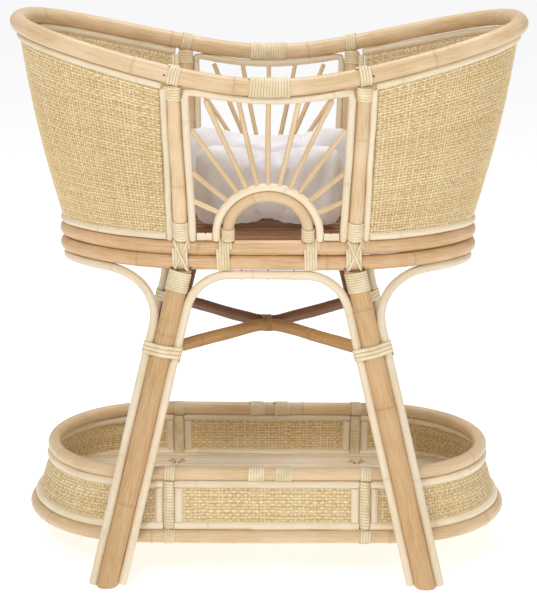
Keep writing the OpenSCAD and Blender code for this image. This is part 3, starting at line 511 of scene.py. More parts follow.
# ---- Sunburst arches and spokes -----------------------------------------------
# A thin pale arch round a thicker tan one stands on the hoop pole, and eleven thin
# round spokes run from it to the frame.
ARCH_V, ARCH_RISE = HOOP_D / 2 + SNUG, 0.0122
FAN_V = ARCH_V + ARCH_RISE
INNER_ARCH_R, INNER_ARCH_D = 0.068, 0.0192
INNER_RISE = ARCH_RISE + OUTER_ARCH_R - INNER_ARCH_R - (OUTER_ARCH_D + INNER_ARCH_D) / 2 + SNUG
SPOKE_D, SPOKE_SET = 0.0085, 0.002
SPOKE_ANGLES = [26, 42, 56.5, 67, 78.5, 90]

def spoke_reach(angle):
    side_x = (FRAME_FOOT_X + FRAME_TOP_X) / 2 - EDGE_D / 2
    to_side = side_x / max(cos(angle), 0.01)
    to_top = (frame_height(0.06) - EDGE_D / 2 - FAN_V) / sin(angle)
    return min(to_side, to_top) + SPOKE_SET

for back, side in ((False, "front"), (True, "back")):
    for name, r, d, rise, node, sheen in (
            ("outer_arch_pole_", OUTER_ARCH_R, OUTER_ARCH_D, ARCH_RISE, "outer_arch_", 0.5),
            ("inner_arch_pole_", INNER_ARCH_R, INNER_ARCH_D, INNER_RISE, "inner_arch_", -0.2)):
        arc = [(r, v) for v in np.linspace(0, rise, 5)[:-1]]
        arc += [(r * cos(a), rise + r * sin(a)) for a in np.linspace(0, pi, 60)]
        arc += [(-r, v) for v in np.linspace(rise, 0, 5)[1:]]
        pole(name + side, [on_front(x, ARCH_V + v, 0, back) for x, v in arc], d,
             cream_rattan if r == OUTER_ARCH_R else tan_rattan, "cream_rattan", [node + side],
             sides=16, spacing=0.2, wander=0.0002, shade=sheen)
    runs = []
    for angle in [radians(a) for a in SPOKE_ANGLES] + [pi - radians(a) for a in SPOKE_ANGLES[:-1]]:
        near, far = OUTER_ARCH_R + OUTER_ARCH_D / 2 - SPOKE_SET, spoke_reach(min(angle, pi - angle))
        bow = chance.uniform(-0.0012, 0.0012)
        line = [on_front(d * cos(angle) + bow * sin(pi * k) * sin(angle),
                         FAN_V + d * sin(angle) - bow * sin(pi * k) * cos(angle), 0, back)
                for k, d in zip(np.linspace(0, 1, 24), np.linspace(near, far, 24))]
        rings = pole_rings(line, SPOKE_D, sides=12, spacing=9.0, wander=0.0002, fine=0.5)[0]
        stops = np.linspace(0, 1, 16)
        points, way, across, up = walk(line, stops * lengths(np.array(line))[-1])
        turn = np.arange(12) * pi / 6
        size = SPOKE_D / 2 * (1 + 0.05 * np.sin(5 * stops + chance.uniform(0, 6)))
        around = np.cos(turn)[None, :, None] * across[:, None] \
            + np.sin(turn)[None, :, None] * up[:, None]
        runs.append(points[:, None] + size[:, None, None] * around)
    spokes = skin("sunburst_spokes_" + side, np.array(runs), chance.uniform(-1, 1, 11),
                  np.zeros(11 * 16), stops * 0.14)
    dressed(spokes, tan_rattan, "cream_rattan", "frame", "spokes_" + side)

# ---- Woven ends ---------------------------------------------------------------
# Each end is one curved panel of fine plain weave: flattish golden cane strands
# run round over and under thin upright stakes, and every strand differs a little.
ROW_PITCH, STAKE_PITCH = 0.0050, 0.0058
STRAND_T = 0.0014

def woven(name, surface, rows, stakes, high, wide, slot_nodes,
          row_pitch=ROW_PITCH, stake_pitch=STAKE_PITCH):
    """surface(a, f) gives point and outward way at shares a along and f up the panel."""
    a = np.linspace(0, 1, 2 * stakes + 1)
    f = np.linspace(0, 1, 2 * rows + 1)
    lift = STRAND_T * 0.62
    turn = np.array([0, 1, 2, 3]) * pi / 2
    # strands along, each lifted over every other stake
    along, up = np.meshgrid(a, f[1::2])
    drift = chance.uniform(-1, 1, (rows, 4))
    for k in range(4):
        up = up + 0.10 / rows * drift[:, k:k + 1] * np.sin((5 + 9 * k) * pi * along * wide / 0.7 + 2 * k)
    points, out = surface(along, up)
    sway = np.sin(pi * (np.arange(2 * stakes + 1)[None, :] / 2 + np.arange(rows)[:, None]))
    line = points + out * (lift * sway)[..., None]
    way = unit(np.gradient(line, axis=1))
    over = np.cross(out, way)
    breadth = row_pitch * 0.5 * chance.uniform(0.88, 1.04, (rows, 1, 1, 1))
    section = (np.cos(turn)[None, None, :, None] * breadth * over[:, :, None]
               + np.sin(turn)[None, None, :, None] * STRAND_T * 0.62 * np.cross(way, over)[:, :, None])
    weft = skin(name + "_strands", line[:, :, None] + section, chance.uniform(-1, 1, rows),
                None, np.linspace(0, wide, 2 * stakes + 1))
    # stakes upwards, lifted the other way
    points, out = surface(*np.meshgrid(a[1::2], f, indexing="ij"))
    sway = -np.sin(pi * (np.arange(2 * rows + 1)[None, :] / 2 + np.arange(stakes)[:, None]))
    line = points + out * (lift * sway)[..., None]
    way = unit(np.gradient(line, axis=1))
    over = np.cross(out, way)
    section = (np.cos(turn)[None, None, :, None] * stake_pitch * 0.36 * over[:, :, None]
               + np.sin(turn)[None, None, :, None] * STRAND_T * 0.62 * np.cross(way, over)[:, :, None])
    warp = skin(name + "_stakes", line[:, :, None] + section, chance.uniform(-1, 1, stakes),
                None, np.linspace(0, high, 2 * rows + 1))
    for piece, nodes in ((weft, slot_nodes), (warp, slot_nodes)):
        dressed(piece, woven_cane, "woven_cane", "frame", *nodes)

def painted_edge_shade(nodes, links, turned=0.0, sharp=5.0):
    """1 along both edges of a strand and 0 on its faces, from the UV round it: the mask of the painted
    shade at strand edges.
    """
    uv = nodes.new("ShaderNodeUVMap")
    split = nodes.new("ShaderNodeSeparateXYZ")
    links.new(uv.outputs[0], split.inputs[0])
    angle = maths(nodes, links, "MULTIPLY_ADD", split.outputs[0], 2 * pi, turned)
    side = maths(nodes, links, "ABSOLUTE", maths(nodes, links, "COSINE", angle, 0.0), 0.0)
    return maths(nodes, links, "POWER", side, sharp)

def cane(name, dark, mid, light):
    """Split cane: glossy face, colour that drifts along each strand and between them, and painted shade
    that darkens each strand's edges where the strands meet.
    """
    material, nodes, links = shader(name)
    surface = nodes["Principled BSDF"]
    place = nodes.new("ShaderNodeTexCoord").outputs["Object"]
    drift = noise(nodes, links, place, 190.0, 3.0)
    patches = noise(nodes, links, place, 7.0, 2.0)
    drifting = maths(nodes, links, "MULTIPLY", drift, 0.88)
    mixed = maths(nodes, links, "MULTIPLY_ADD", patches, 0.12, drifting)
    tone = maths(nodes, links, "MULTIPLY_ADD", attribute(nodes, "shade"), 0.11, mixed)
    colour = ramp(nodes, links, tone, [(0.24, dark), (0.5, mid), (0.76, light)])
    # painted shade: each strand's edges are darkened towards brown, standing in for the shade that falls
    # in the gaps between strands
    edge = maths(nodes, links, "MULTIPLY", painted_edge_shade(nodes, links, 0.0, 3.0), 0.62)
    edge_shaded = blend(nodes, links, "MIX", edge, colour, linear(146, 108, 54))
    links.new(edge_shaded, surface.inputs["Base Color"])
    surface.inputs["Roughness"].default_value = 0.5
    relief(nodes, links, noise(nodes, links, place, 420.0, 2.0), 0.3)
    return material

woven_cane = cane("woven_cane", linear(206, 174, 116), linear(232, 208, 158), linear(247, 232, 194))

def end_surface(end):
    turns = wall_turns(EDGE_D * 0.4)
    low, top = OVER_HOOP + EDGE_D * 0.3, UNDER_RIM + EDGE_D * 0.3
    def surface(a, f):
        points, out = np.zeros(a.shape + (3,)), np.zeros(a.shape + (3,))
        for s in np.unique(a):
            foot, head, way = wall_frame(2 * s - 1, turns, end)
            tall = np.linalg.norm(head - foot)
            here = a == s
            share = (low + (tall - low - top) * f[here]) / tall
            points[here] = foot + (head - foot) * share[:, None] \
                + way * (WALL_BELLY * np.sin(pi * share))[:, None]
            tilt = unit(head - foot)
            out[here] = unit(way - np.dot(way, tilt) * tilt)
        return points, out
    return surface

END_ROWS, END_STAKES = 54, 122
END_TALL, END_ROUND = 0.27, 0.72
for end, side in ((1, "right"), (-1, "left")):
    woven("end_weave_" + side, end_surface(end), END_ROWS, END_STAKES, END_TALL, END_ROUND,
          ["end_cane_" + side])

# ---- Cane lashings of the cradle ----------------------------------------------
# Flat strips of pale cane, wound side by side and pulled tight: round the rim's
# scarf joints, over rim and posts, round the posts' feet, and over both hoops.
BAND_W, BAND_T = 0.0046, 0.0013

def circle(r, count=22):
    turn = np.arange(count) * 2 * pi / count
    return np.stack([r * np.cos(turn), r * np.sin(turn)], -1)

def hull_outline(rounds, count=44):
    """Outline of a tight strip round several poles: rounds holds (across, up, radius)."""
    turn = np.arange(360) * pi / 180
    cloud = np.concatenate([[(a + r * cos(t), b + r * sin(t)) for t in turn] for a, b, r in rounds])
    middle = cloud.mean(0)
    keep = [cloud[np.argmax((cloud - middle) @ [cos(t), sin(t)])] for t in turn]
    ring = np.array([keep[0]] + [p for q, p in zip(keep, keep[1:]) if np.linalg.norm(p - q) > 1e-6])
    run = lengths(np.concatenate([ring, ring[:1]]))
    even = np.linspace(0, run[-1], count, endpoint=False)
    ring = np.concatenate([ring, ring[:1]])
    return np.stack([np.interp(even, run, ring[:, k]) for k in range(2)], -1)

def lash(axis, outline, start, turns, side=None, strip=BAND_W, thick=BAND_T):
    """One strip wound side by side round an outline that is carried along an axis."""
    count = len(outline)
    steps = np.arange(turns * count + 1)
    stops = start + strip * 1.03 * (steps / count - turns / 2)
    points, way, a, b = walk(axis, stops)
    if side is not None:
        a = unit(np.asarray(side, float) - (way @ np.asarray(side, float))[:, None] * way)
        b = np.cross(way, a)
    run = np.roll(outline, -1, axis=0) - np.roll(outline, 1, axis=0)
    facing = unit(np.stack([run[:, 1], -run[:, 0]], -1))
    spot, face = outline[steps % count], facing[steps % count]
    out = face[:, :1] * a + face[:, 1:] * b
    centre = points + spot[:, :1] * a + spot[:, 1:] * b + out * thick * 0.5
    turn = np.arange(8) * pi / 4 + pi / 8
    wide = np.sign(np.cos(turn)) * np.abs(np.cos(turn)) ** 0.55 * strip * 0.5
    deep = np.sign(np.sin(turn)) * np.abs(np.sin(turn)) ** 0.75 * thick * 0.55
    return centre[:, None] + wide[None, :, None] * way[:, None] + deep[None, :, None] * out[:, None]

def lashing(name, runs, *nodes, material=None):
    shade = chance.uniform(-1, 1, len(runs))
    piece = skin(name, np.array(runs), shade, None, np.arange(len(runs[0])) * 0.004)
    return dressed(piece, material or binding_cane, "binding_cane", "frame", *nodes)

def strip_cane(name, dark, light):
    """Inner cane split flat: matt, pale straw, with fine grain along the strip, and painted shade that
    darkens its edges where strips meet.
    """
    material, nodes, links = shader(name)
    surface = nodes["Principled BSDF"]
    place = nodes.new("ShaderNodeTexCoord").outputs["Object"]
    patches = noise(nodes, links, place, 40.0, 2.0)
    tone = maths(nodes, links, "MULTIPLY_ADD", attribute(nodes, "shade"), 0.05, patches)
    colour = ramp(nodes, links, tone, [(0.3, dark), (0.7, light)])
    # painted shade: the strip's edges are darkened brown, standing in for the dark seams between strips
    edge = maths(nodes, links, "MULTIPLY", painted_edge_shade(nodes, links, pi / 8, 4.0), 0.5)
    edge_shaded = blend(nodes, links, "MIX", edge, colour, linear(134, 100, 58))
    links.new(edge_shaded, surface.inputs["Base Color"])
    surface.inputs["Roughness"].default_value = 0.55
    relief(nodes, links, noise(nodes, links, place, 700.0, 2.0), 0.35)
    return material

binding_cane = strip_cane("binding_cane_strip", linear(222, 202, 160), linear(241, 227, 194))
# Darker brown strips, wound round the brace's middle.
dark_cane = strip_cane("dark_cane_strip", linear(160, 120, 76), linear(200, 162, 112))
rim_run = lengths(rim_path)
front_turn, back_turn = rim_run[540], rim_run[180]
lashing("rim_scarf_binding", [lash(rim_path, circle(RIM_D / 2 + 0.0003), s, 14)
                              for s in (front_turn, back_turn)], "rim_bindings")
rings = []
for end in (-1, 1):
    for back in (-1, 1):
        near = np.argmin(np.abs(rim_path[:, 0] - end * POST_TOP_X) + (rim_path[:, 1] * back < 0))
        rings.append(lash(rim_path, circle(RIM_D / 2 + 0.0006), rim_run[near], 4))
lashing("rim_post_rings", rings, "rim_bindings")

heads, feet = [], []
for (end, back), (foot, head) in post_lines.items():
    line = np.linspace(foot, head, 50)
    tall = np.linalg.norm(head - foot)
    heads.append(lash(line, circle(POST_D / 2 + 0.0004), tall - RIM_D / 2 - 0.0155, 5))
    feet.append(lash(line, circle(POST_D / 2 + 0.0004), HOOP_D / 2 + 0.0185, 7))
lashing("post_head_windings", heads, "post_bindings")
lashing("post_foot_windings", feet, "post_bindings")

# Over both hoops: four or five strips side by side at each arch foot and each post,
# and at the posts two more that cross on the outside.
HOOP_GAP = HOOP_Z - LOW_HOOP_Z
stack = hull_outline([(0, 0, HOOP_D / 2 + 0.0004), (0, HOOP_GAP, HOOP_D / 2 + 0.0004)], 40)
ARCH_STRAP_X, ARCH_STRAP_STRIPS, POST_STRAP_STRIPS = 0.0742, 5, 6
arch_straps, post_straps, crossings, arch_rings = [], [], [], []
for back in (-1, 1):
    for x in (-ARCH_STRAP_X, ARCH_STRAP_X, -POST_FOOT_X, POST_FOOT_X):
        near = np.argmin(np.abs(hoop_path[:, 0] - x) + (hoop_path[:, 1] * back < 0))
        middle, along = hoop_path[near], unit(hoop_path[near + 1] - hoop_path[near - 1])
        line = [middle - along * 0.04, middle + along * 0.04]
        out = np.cross(along, [0, 0, 1.0])
        strips = ARCH_STRAP_STRIPS if abs(x) < 0.1 else POST_STRAP_STRIPS
        strap = lash(line, stack, 0.04, strips, side=out, strip=0.0044)
        (arch_straps if abs(x) < 0.1 else post_straps).append(strap)
        if abs(x) < 0.1:
            continue
        for slant in (-1, 1):
            k = np.linspace(-1, 1, 25)
            height = -HOOP_GAP / 2 - k * 0.027
            depth = HOOP_D / 2 + 0.0032 - np.maximum(0, np.abs(k) - 0.7) ** 2 * 0.06
            spot = middle + (k * slant * 0.0125)[:, None] * along + height[:, None] * [0, 0, 1.0] \
                + depth[:, None] * out + (0.0009 * slant) * out
            way = unit(np.gradient(spot, axis=0))
            across = unit(np.cross(way, out))
            turn = np.arange(8) * pi / 4 + pi / 8
            crossings.append(spot[:, None] + (np.cos(turn) * 0.0024)[None, :, None] * across[:, None]
                             + (np.sin(turn) * 0.0007)[None, :, None] * out)
    for end in (-1, 1):
        line = [on_front(end * INNER_ARCH_R, ARCH_V + v, 0, back > 0) for v in (-0.01, 0.03)]
        arch_rings.append(lash(line, circle(INNER_ARCH_D / 2 + 0.0004), 0.0215, 5, strip=0.0042))
lashing("arch_straps", arch_straps, "hoop_bindings")
lashing("post_straps", post_straps, "hoop_bindings")
lashing("post_crossed_strips", crossings, "hoop_bindings")
lashing("arch_foot_rings", arch_rings, "hoop_bindings")

# ---- Cradle floor -------------------------------------------------------------
# Cross bearers between the sides of the lower hoop, and thin slats nailed on them.
BEARER_D, SLAT_D, SLAT_PITCH = 0.016, 0.013, 0.030
FLOOR_Z = LOW_HOOP_Z + BEARER_D / 2 + SLAT_D / 2 + 0.0003
# Dark brown rattan for the floor: partly its own brown, partly painted shade, darkened to the shaded
# look of the cradle's inside.
floor_shade_rattan = rattan("floor_shade_rattan_skin", linear(118, 80, 46), linear(158, 116, 72),
                      linear(172, 124, 84), linear(110, 70, 42), 0.5)
runs = []
for x in (-0.240, -0.108, 0.108, 0.240):
    y = hoop_reach(abs(x) + BEARER_D / 2) - HOOP_D / 2 - 0.001
    runs.append(pole_rings([(x, -y, LOW_HOOP_Z), (x, y, LOW_HOOP_Z)], BEARER_D, sides=12, spacing=9)[0])
few = min(len(r) for r in runs)
runs = [r[np.round(np.linspace(0, len(r) - 1, few)).astype(int)] for r in runs]
dressed(skin("cradle_floor_bearers", np.array(runs), chance.uniform(-1, 1, 4), np.zeros(4 * few),
             np.linspace(0, 0.3, few)), floor_shade_rattan, "tan_rattan", "frame", "floor_bearers")
runs = []
for row in range(-4, 5):
    low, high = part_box("floor_slats")
    y = row * SLAT_PITCH
    inner_w = HOOP_HALF_W - HOOP_D / 2 - SLAT_D / 2 - 0.005
    half = high[0] * sqrt(max(0.1, 1 - 0.62 * (y / inner_w) ** 2)) - 0.001
    line = [(-half, y, FLOOR_Z), (half, y, FLOOR_Z)]
    runs.append(pole_rings(line, SLAT_D, sides=10, spacing=9, fine=0.02)[0])
few = min(len(r) for r in runs)
runs = [r[np.round(np.linspace(0, len(r) - 1, few)).astype(int)] for r in runs]
dressed(skin("cradle_floor_slats", np.array(runs), chance.uniform(-1, 1, 9), np.zeros(9 * few),
             np.linspace(0, 0.65, few)), floor_shade_rattan, "cream_rattan", "frame", "floor_slats")

# ---- Bedding ------------------------------------------------------------------
# Two plump pillows in pale grey cotton lean on the back side, the nearer one smaller.
# Each is a closed cover swollen by a cloth simulation, flat where it stands, with a
# sewn seam round its edge and soft folds that fall from the top.
def cotton(name):
    material, nodes, links = shader(name)
    surface = nodes["Principled BSDF"]
    place = nodes.new("ShaderNodeTexCoord").outputs["Object"]
    threads = []
    for axis in ("X", "Z"):
        wave = nodes.new("ShaderNodeTexWave")
        wave.bands_direction = axis
        wave.inputs["Scale"].default_value = 420.0
        wave.inputs["Distortion"].default_value = 0.6
        links.new(place, wave.inputs["Vector"])
        threads.append(wave.outputs["Fac"])
    weave = maths(nodes, links, "MULTIPLY", threads[0], threads[1])
    clouds = noise(nodes, links, place, 16.0, 4.0)
    tone = maths(nodes, links, "MULTIPLY_ADD", weave, 0.18, clouds)
    colour = ramp(nodes, links, tone, [(0.35, linear(222, 220, 225)), (0.75, linear(243, 241, 244))])
    links.new(colour, surface.inputs["Base Color"])
    surface.inputs["Roughness"].default_value = 0.85
    surface.inputs["Sheen Weight"].default_value = 0.25
    surface.inputs["Sheen Roughness"].default_value = 0.5
    creases = noise(nodes, links, place, 160.0, 3.0)
    height = maths(nodes, links, "MULTIPLY_ADD", creases, 0.6, weave)
    relief(nodes, links, height, 0.25, 0.0004)
    return material

pillow_cotton = cotton("pillow_cotton")
PILLOW_BASE_Z = FLOOR_Z + SLAT_D / 2 + 0.0045

def shape_of(piece):
    spots = np.zeros(len(piece.data.vertices) * 3)
    piece.data.vertices.foreach_get("co", spots)
    return spots.reshape(-1, 3)

def pillow(name, node, body, half_l, tall, thick, middle_y, tilt, folds, notch=None, cap=0.016):
    """middle_y is the middle of its foot; tilt leans its top towards the back."""
    bpy.ops.mesh.primitive_uv_sphere_add(segments=64, ring_count=40, radius=1)
    piece = bpy.context.object
    piece.name = piece.data.name = name
    ball = shape_of(piece)
    polar = np.arccos(np.clip(ball[:, 2], -1, 1)) / pi
    out = np.sin(pi * polar)
    turn = np.arctan2(ball[:, 1], ball[:, 0])
    power = 7.0
    reach = (np.abs(np.cos(turn)) ** power + np.abs(np.sin(turn)) ** power) ** (-1 / power)
    # the cover's edge dips between its corners
    waist = 1 - 0.02 * np.cos(2 * turn) ** 2
    share = out ** 0.6 * reach * waist
    x = half_l * 0.95 * share * np.cos(turn)
    z = tall * 0.5 + tall * 0.475 * share * np.sin(turn)
    y = 0.5 * thick * 0.62 * np.sign(ball[:, 2]) * np.abs(ball[:, 2]) ** 0.62
    piece.data.vertices.foreach_set("co", np.stack([x, y, z], -1).ravel())
    piece.data.update()
    bpy.ops.object.modifier_add(type="REMESH")
    piece.modifiers[-1].mode = "VOXEL"
    piece.modifiers[-1].voxel_size = 0.0055
    bpy.ops.object.modifier_apply(modifier=piece.modifiers[-1].name)
    first = shape_of(piece)
    bpy.ops.object.modifier_add(type="CLOTH")
    cloth = piece.modifiers[-1]
    cloth.settings.quality = 5
    cloth.settings.mass = 0.25
    cloth.settings.tension_stiffness = 12
    cloth.settings.compression_stiffness = 12
    cloth.settings.shear_stiffness = 5
    cloth.settings.bending_stiffness = 0.15
    cloth.settings.use_pressure = True
    cloth.settings.uniform_pressure_force = 4
    cloth.settings.effector_weights.gravity = 0
    for step in range(1, 21):
        bpy.context.scene.frame_set(step)
    swollen = piece.evaluated_get(bpy.context.evaluated_depsgraph_get()).to_mesh()
    last = np.zeros(len(swollen.vertices) * 3)
    swollen.vertices.foreach_get("co", last)
    last = last.reshape(-1, 3)
    piece.evaluated_get(bpy.context.evaluated_depsgraph_get()).to_mesh_clear()
    bpy.ops.object.modifier_remove(modifier=cloth.name)
    bpy.context.scene.frame_set(1)
    move = last - first
    far = np.linalg.norm(move, axis=1, keepdims=True)
    swell = move * np.minimum(1, cap / np.maximum(far, 1e-9))
    piece.data.vertices.foreach_set("co", (first + swell).ravel())
    piece.data.update()
    bpy.ops.object.modifier_add(type="SUBSURF")
    piece.modifiers[-1].levels = piece.modifiers[-1].render_levels = 1
    bpy.ops.object.modifier_apply(modifier=piece.modifiers[-1].name)
    spots = shape_of(piece)
    low, high = spots.min(0), spots.max(0)
    # fit the swollen cover to its size, then lay folds, seam and foot into it
    spots[:, 0] *= half_l / max(-low[0], high[0])
    spots[:, 1] *= thick * 0.5 / max(-low[1], high[1])
    spots[:, 2] = (spots[:, 2] - low[2]) * tall / (high[2] - low[2])
    away = np.abs(spots[:, 1]) / (thick * 0.5)
    front = np.sign(spots[:, 1])
    pitch, depth = folds
    across = spots[:, 0] + 0.012 * np.sin(spots[:, 2] * 31 + spots[:, 0] * 9)
    wave = np.sin(across * 2 * pi / pitch) \
        + 0.5 * np.sin(across * 2 * pi / pitch * 1.73 + 1.1 + spots[:, 2] * 22)
    fade = np.clip(away * 1.6 - 0.2, 0, 1) * (0.55 + 0.45 * np.sin(spots[:, 2] / tall * pi))
    spots[:, 1] += front * depth * wave * fade
    edge = np.exp(-(spots[:, 1] / 0.0022) ** 2)
    middle = np.array([0, 0, tall * 0.5])
    spots -= unit(spots - middle) * (edge * 0.0022)[:, None] * np.array([1, 0, 1])
    pucker = 0.0011 * np.sin(np.arctan2(spots[:, 2] - tall / 2, spots[:, 0] * tall / half_l / 2) * 46)
    near = np.exp(-(spots[:, 1] / 0.010) ** 2)
    spots += unit(spots - middle) * (near * pucker)[:, None] * np.array([1, 0, 1])
    if notch is not None:
        place, wide, deep = notch
        dip = np.exp(-((spots[:, 0] - place) / wide) ** 2) \
            * np.clip((spots[:, 2] / tall - 0.55) / 0.45, 0, 1)
        spots[:, 2] -= deep * dip
        spots[:, 1] -= front * 0.25 * deep * dip
    # lean it on the back side and flatten its foot
    leant = np.stack([spots[:, 0], middle_y + spots[:, 1] * cos(tilt) + spots[:, 2] * sin(tilt),
                      PILLOW_BASE_Z + spots[:, 2] * cos(tilt) - spots[:, 1] * sin(tilt)], -1)
    below = PILLOW_BASE_Z - leant[:, 2]
    pressed = PILLOW_BASE_Z + 0.006 * np.exp(-(below + 0.006) / 0.006)
    leant[:, 2] = np.where(below > -0.006, pressed, leant[:, 2])
    piece.data.vertices.foreach_set("co", leant.ravel())
    piece.data.update()
    bpy.ops.object.shade_smooth()
    piece.data.materials.clear()
    piece.data.materials.append(pillow_cotton)
    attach(piece, body)
    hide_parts(node)
    return piece

pillow("rear_pillow_cover", "rear_pillow", "rear_pillow_body", 0.158, 0.160, 0.078, 0.1130,
       radians(14.5), (0.072, 0.0016), notch=(0.064, 0.005, 0.005))
pillow("front_pillow_cover", "front_pillow", "front_pillow_body", 0.131, 0.143, 0.100, 0.0130,
       radians(8.7), (0.052, 0.0034), notch=(0.020, 0.010, 0.003))

# ---- Legs ---------------------------------------------------------------------
# Four stout tan poles, splayed both ways and cut level at the floor and under the
# lower hoop, each with a thin pale pole nailed to its inner and its outer side.
LEG_D, SIDE_D = 0.036, 0.0155
FOOT_X, FOOT_Y = 0.278, 0.243
LEG_TOP_X = 0.149
LEG_TOP_Z = LOW_HOOP_Z - HOOP_D / 2 - 0.0006
SPLAY = atan2(FOOT_Y - HOOP_HALF_W, LEG_TOP_Z)
LEG_SLANT = LEG_TOP_Z / cos(SPLAY)
LEG_LEAN = atan2(FOOT_X - LEG_TOP_X, LEG_SLANT)
SIDE_PITCH = LEG_D / 2 + SIDE_D / 2 - 0.0012

def leg_plane(x, w):
    """Point of the front legs' plane at x and a distance up the plane."""
    return np.array([x, -FOOT_Y + w * sin(SPLAY), w * cos(SPLAY)])

def corner(points, end, back):
    return np.asarray(points, float) * [end, -back, 1]

honey_rattan = rattan("honey_rattan_skin", linear(176, 136, 88), linear(216, 178, 128),
                      linear(212, 176, 134), linear(150, 106, 62), 0.4, fibre=0.6)
# Dark red-brown rattan for the back legs, the back inner thin pole and the back brace: painted shade, a
# darker copy of the front parts' rattan for parts that stand in the cradle's shade.
shaded_back_rattan = rattan("shaded_back_rattan_skin", linear(96, 60, 36), linear(150, 102, 64),
                    linear(126, 80, 48), linear(80, 50, 30), 0.42)
leg_names = {}
for end, side in ((1, "right"), (-1, "left")):
    for back, face in ((-1, "front"), (1, "back")):
        foot, top = corner([leg_plane(FOOT_X, 0), leg_plane(LEG_TOP_X, LEG_SLANT)], end, back)
        way = unit(top - foot)
        rings, ridge, stops = pole_rings(np.linspace(foot - way * 0.02, top + way * 0.02, 80),
                                         LEG_D, sides=24, spacing=0.3)
        for level, sign in ((0.0, 1), (LEG_TOP_Z, -1)):
            short = np.maximum(0, sign * (level - rings[..., 2]))
            rings = rings + sign * (short / way[2])[..., None] * way
        leg = skin("leg_pole_%s_%s" % (face, side), rings[None], chance.uniform(-0.5, 0.8, 1),
                   ridge, stops)
        # painted shade: the back legs take the dark red-brown rattan
        dressed(leg, honey_rattan if back < 0 else shaded_back_rattan, "tan_rattan", "frame",
                "leg_%s_%s" % (face, side))
        leg_names[(end, back)] = (foot, top)

# ---- Thin poles of the stand --------------------------------------------------
# One runs up the inner side of a leg, turns under the hoops and comes down the next
# leg, at front and back. Another leaves the outer sides and runs round each end.
ARCH_R = 0.076
ARCH_LINE_Z = LOW_HOOP_Z - HOOP_D / 2 - SIDE_D / 2 - SNUG
SIDE_LIFT = 0.0022

def inner_arch_line():
    foot_x = FOOT_X - SIDE_PITCH / cos(LEG_LEAN)
    corner_w = ARCH_LINE_Z / cos(SPLAY)
    corner_x = foot_x - corner_w * tan(LEG_LEAN)
    reach = ARCH_R * tan((pi / 2 - LEG_LEAN) / 2)
    start = leg_plane(foot_x - SIDE_LIFT * tan(LEG_LEAN), SIDE_LIFT)
    curve = [leg_plane(corner_x - reach + ARCH_R * cos(a), corner_w - ARCH_R + ARCH_R * sin(a))
             for a in np.linspace(LEG_LEAN, pi / 2, 24)]
    half = np.concatenate([np.linspace(start, curve[0], 40)[:-1], curve])
    other = half[::-1] * [-1, 1, 1]
    return np.concatenate([half, np.linspace(half[-1], other[0], 24)[1:-1], other])

def outer_at(z):
    w = z / cos(SPLAY)
    return leg_plane(FOOT_X + SIDE_PITCH / cos(LEG_LEAN) - w * tan(LEG_LEAN), w)

def end_arch_line():
    leave_z, meet_turn = LEG_TOP_Z - 0.100, -acos(0.78)
    leave = outer_at(leave_z)
    up = unit(outer_at(leave_z + 0.01) - leave)
    meet = hoop_point(meet_turn, ARCH_LINE_Z)
    back = unit(hoop_point(meet_turn - 0.05, ARCH_LINE_Z) - meet)
    k = np.linspace(0, 1, 40)[:-1, None]
    curve = leave * (1 - k) ** 3 + (leave + up * 0.062) * 3 * k * (1 - k) ** 2 \
        + (meet + back * 0.062) * 3 * k * k * (1 - k) + meet * k ** 3
    round_end = [hoop_point(t, ARCH_LINE_Z) for t in np.linspace(meet_turn, 0, 60)]
    half = np.concatenate([np.linspace(outer_at(SIDE_LIFT), leave, 40)[:-1], curve, round_end])
    return np.concatenate([half, half[-2::-1] * [1, -1, 1]])

for back, face in ((-1, "front"), (1, "back")):
    # painted shade: the back pole takes the dark red-brown rattan, the front one stays pale
    pole("stand_arch_pole_" + face, corner(inner_arch_line(), 1, back), SIDE_D,
         cream_rattan if back < 0 else shaded_back_rattan,
         "cream_rattan", [face + "_arch_pole"], sides=16, spacing=0.3)
for end, side in ((1, "right"), (-1, "left")):
    pole("stand_end_pole_" + side, corner(end_arch_line(), end, -1), SIDE_D, cream_rattan,
         "cream_rattan", [side + "_end_arch_pole"], sides=16, spacing=0.31)

# ---- Brace --------------------------------------------------------------------
# Two bent poles lashed back to back at the middle. Their ends are notched into the
# legs at the height of the bands.
BRACE_D, BRACE_Z, BRACE_BEND_R, BRACE_SET = 0.022, 0.411, 0.034, 0.005

def brace_line():
    w = BRACE_Z / cos(SPLAY)
    leg = leg_plane(FOOT_X - w * tan(LEG_LEAN), w)
    centre = np.array([0, -BRACE_D / 2 - 0.0003 - BRACE_BEND_R, BRACE_Z])
    away = sqrt(leg[0] ** 2 + (centre[1] - leg[1]) ** 2)
    a = atan2(centre[1] - leg[1], leg[0]) + asin(BRACE_BEND_R / away)
    start = centre + BRACE_BEND_R * np.array([sin(a), cos(a), 0])
    reach = (leg[0] - start[0]) / cos(a) - LEG_D / 2 + BRACE_SET
    tip = start + reach * np.array([cos(a), -sin(a), 0])
    bend = [centre + BRACE_BEND_R * np.array([sin(b), cos(b), 0]) for b in np.linspace(a, 0, 20)]
    half = np.concatenate([np.linspace(tip, start, 40)[:-1], bend])
    return np.concatenate([half, half[-2::-1] * [-1, 1, 1]])

amber_rattan = rattan("amber_rattan_skin", linear(158, 114, 62), linear(206, 164, 108),
                      linear(186, 138, 84), linear(120, 80, 44), 0.42)
pole("brace_pole_front", brace_line(), BRACE_D, amber_rattan, "tan_rattan", ["brace_front"],
     sides=16, spacing=0.16, shade=0.0)
# painted shade: the back brace pole takes the dark red-brown rattan, the front one amber
pole("brace_pole_back", corner(brace_line(), 1, 1), BRACE_D, shaded_back_rattan, "tan_rattan",
     ["brace_back"], sides=16, spacing=0.14, shade=0.0)

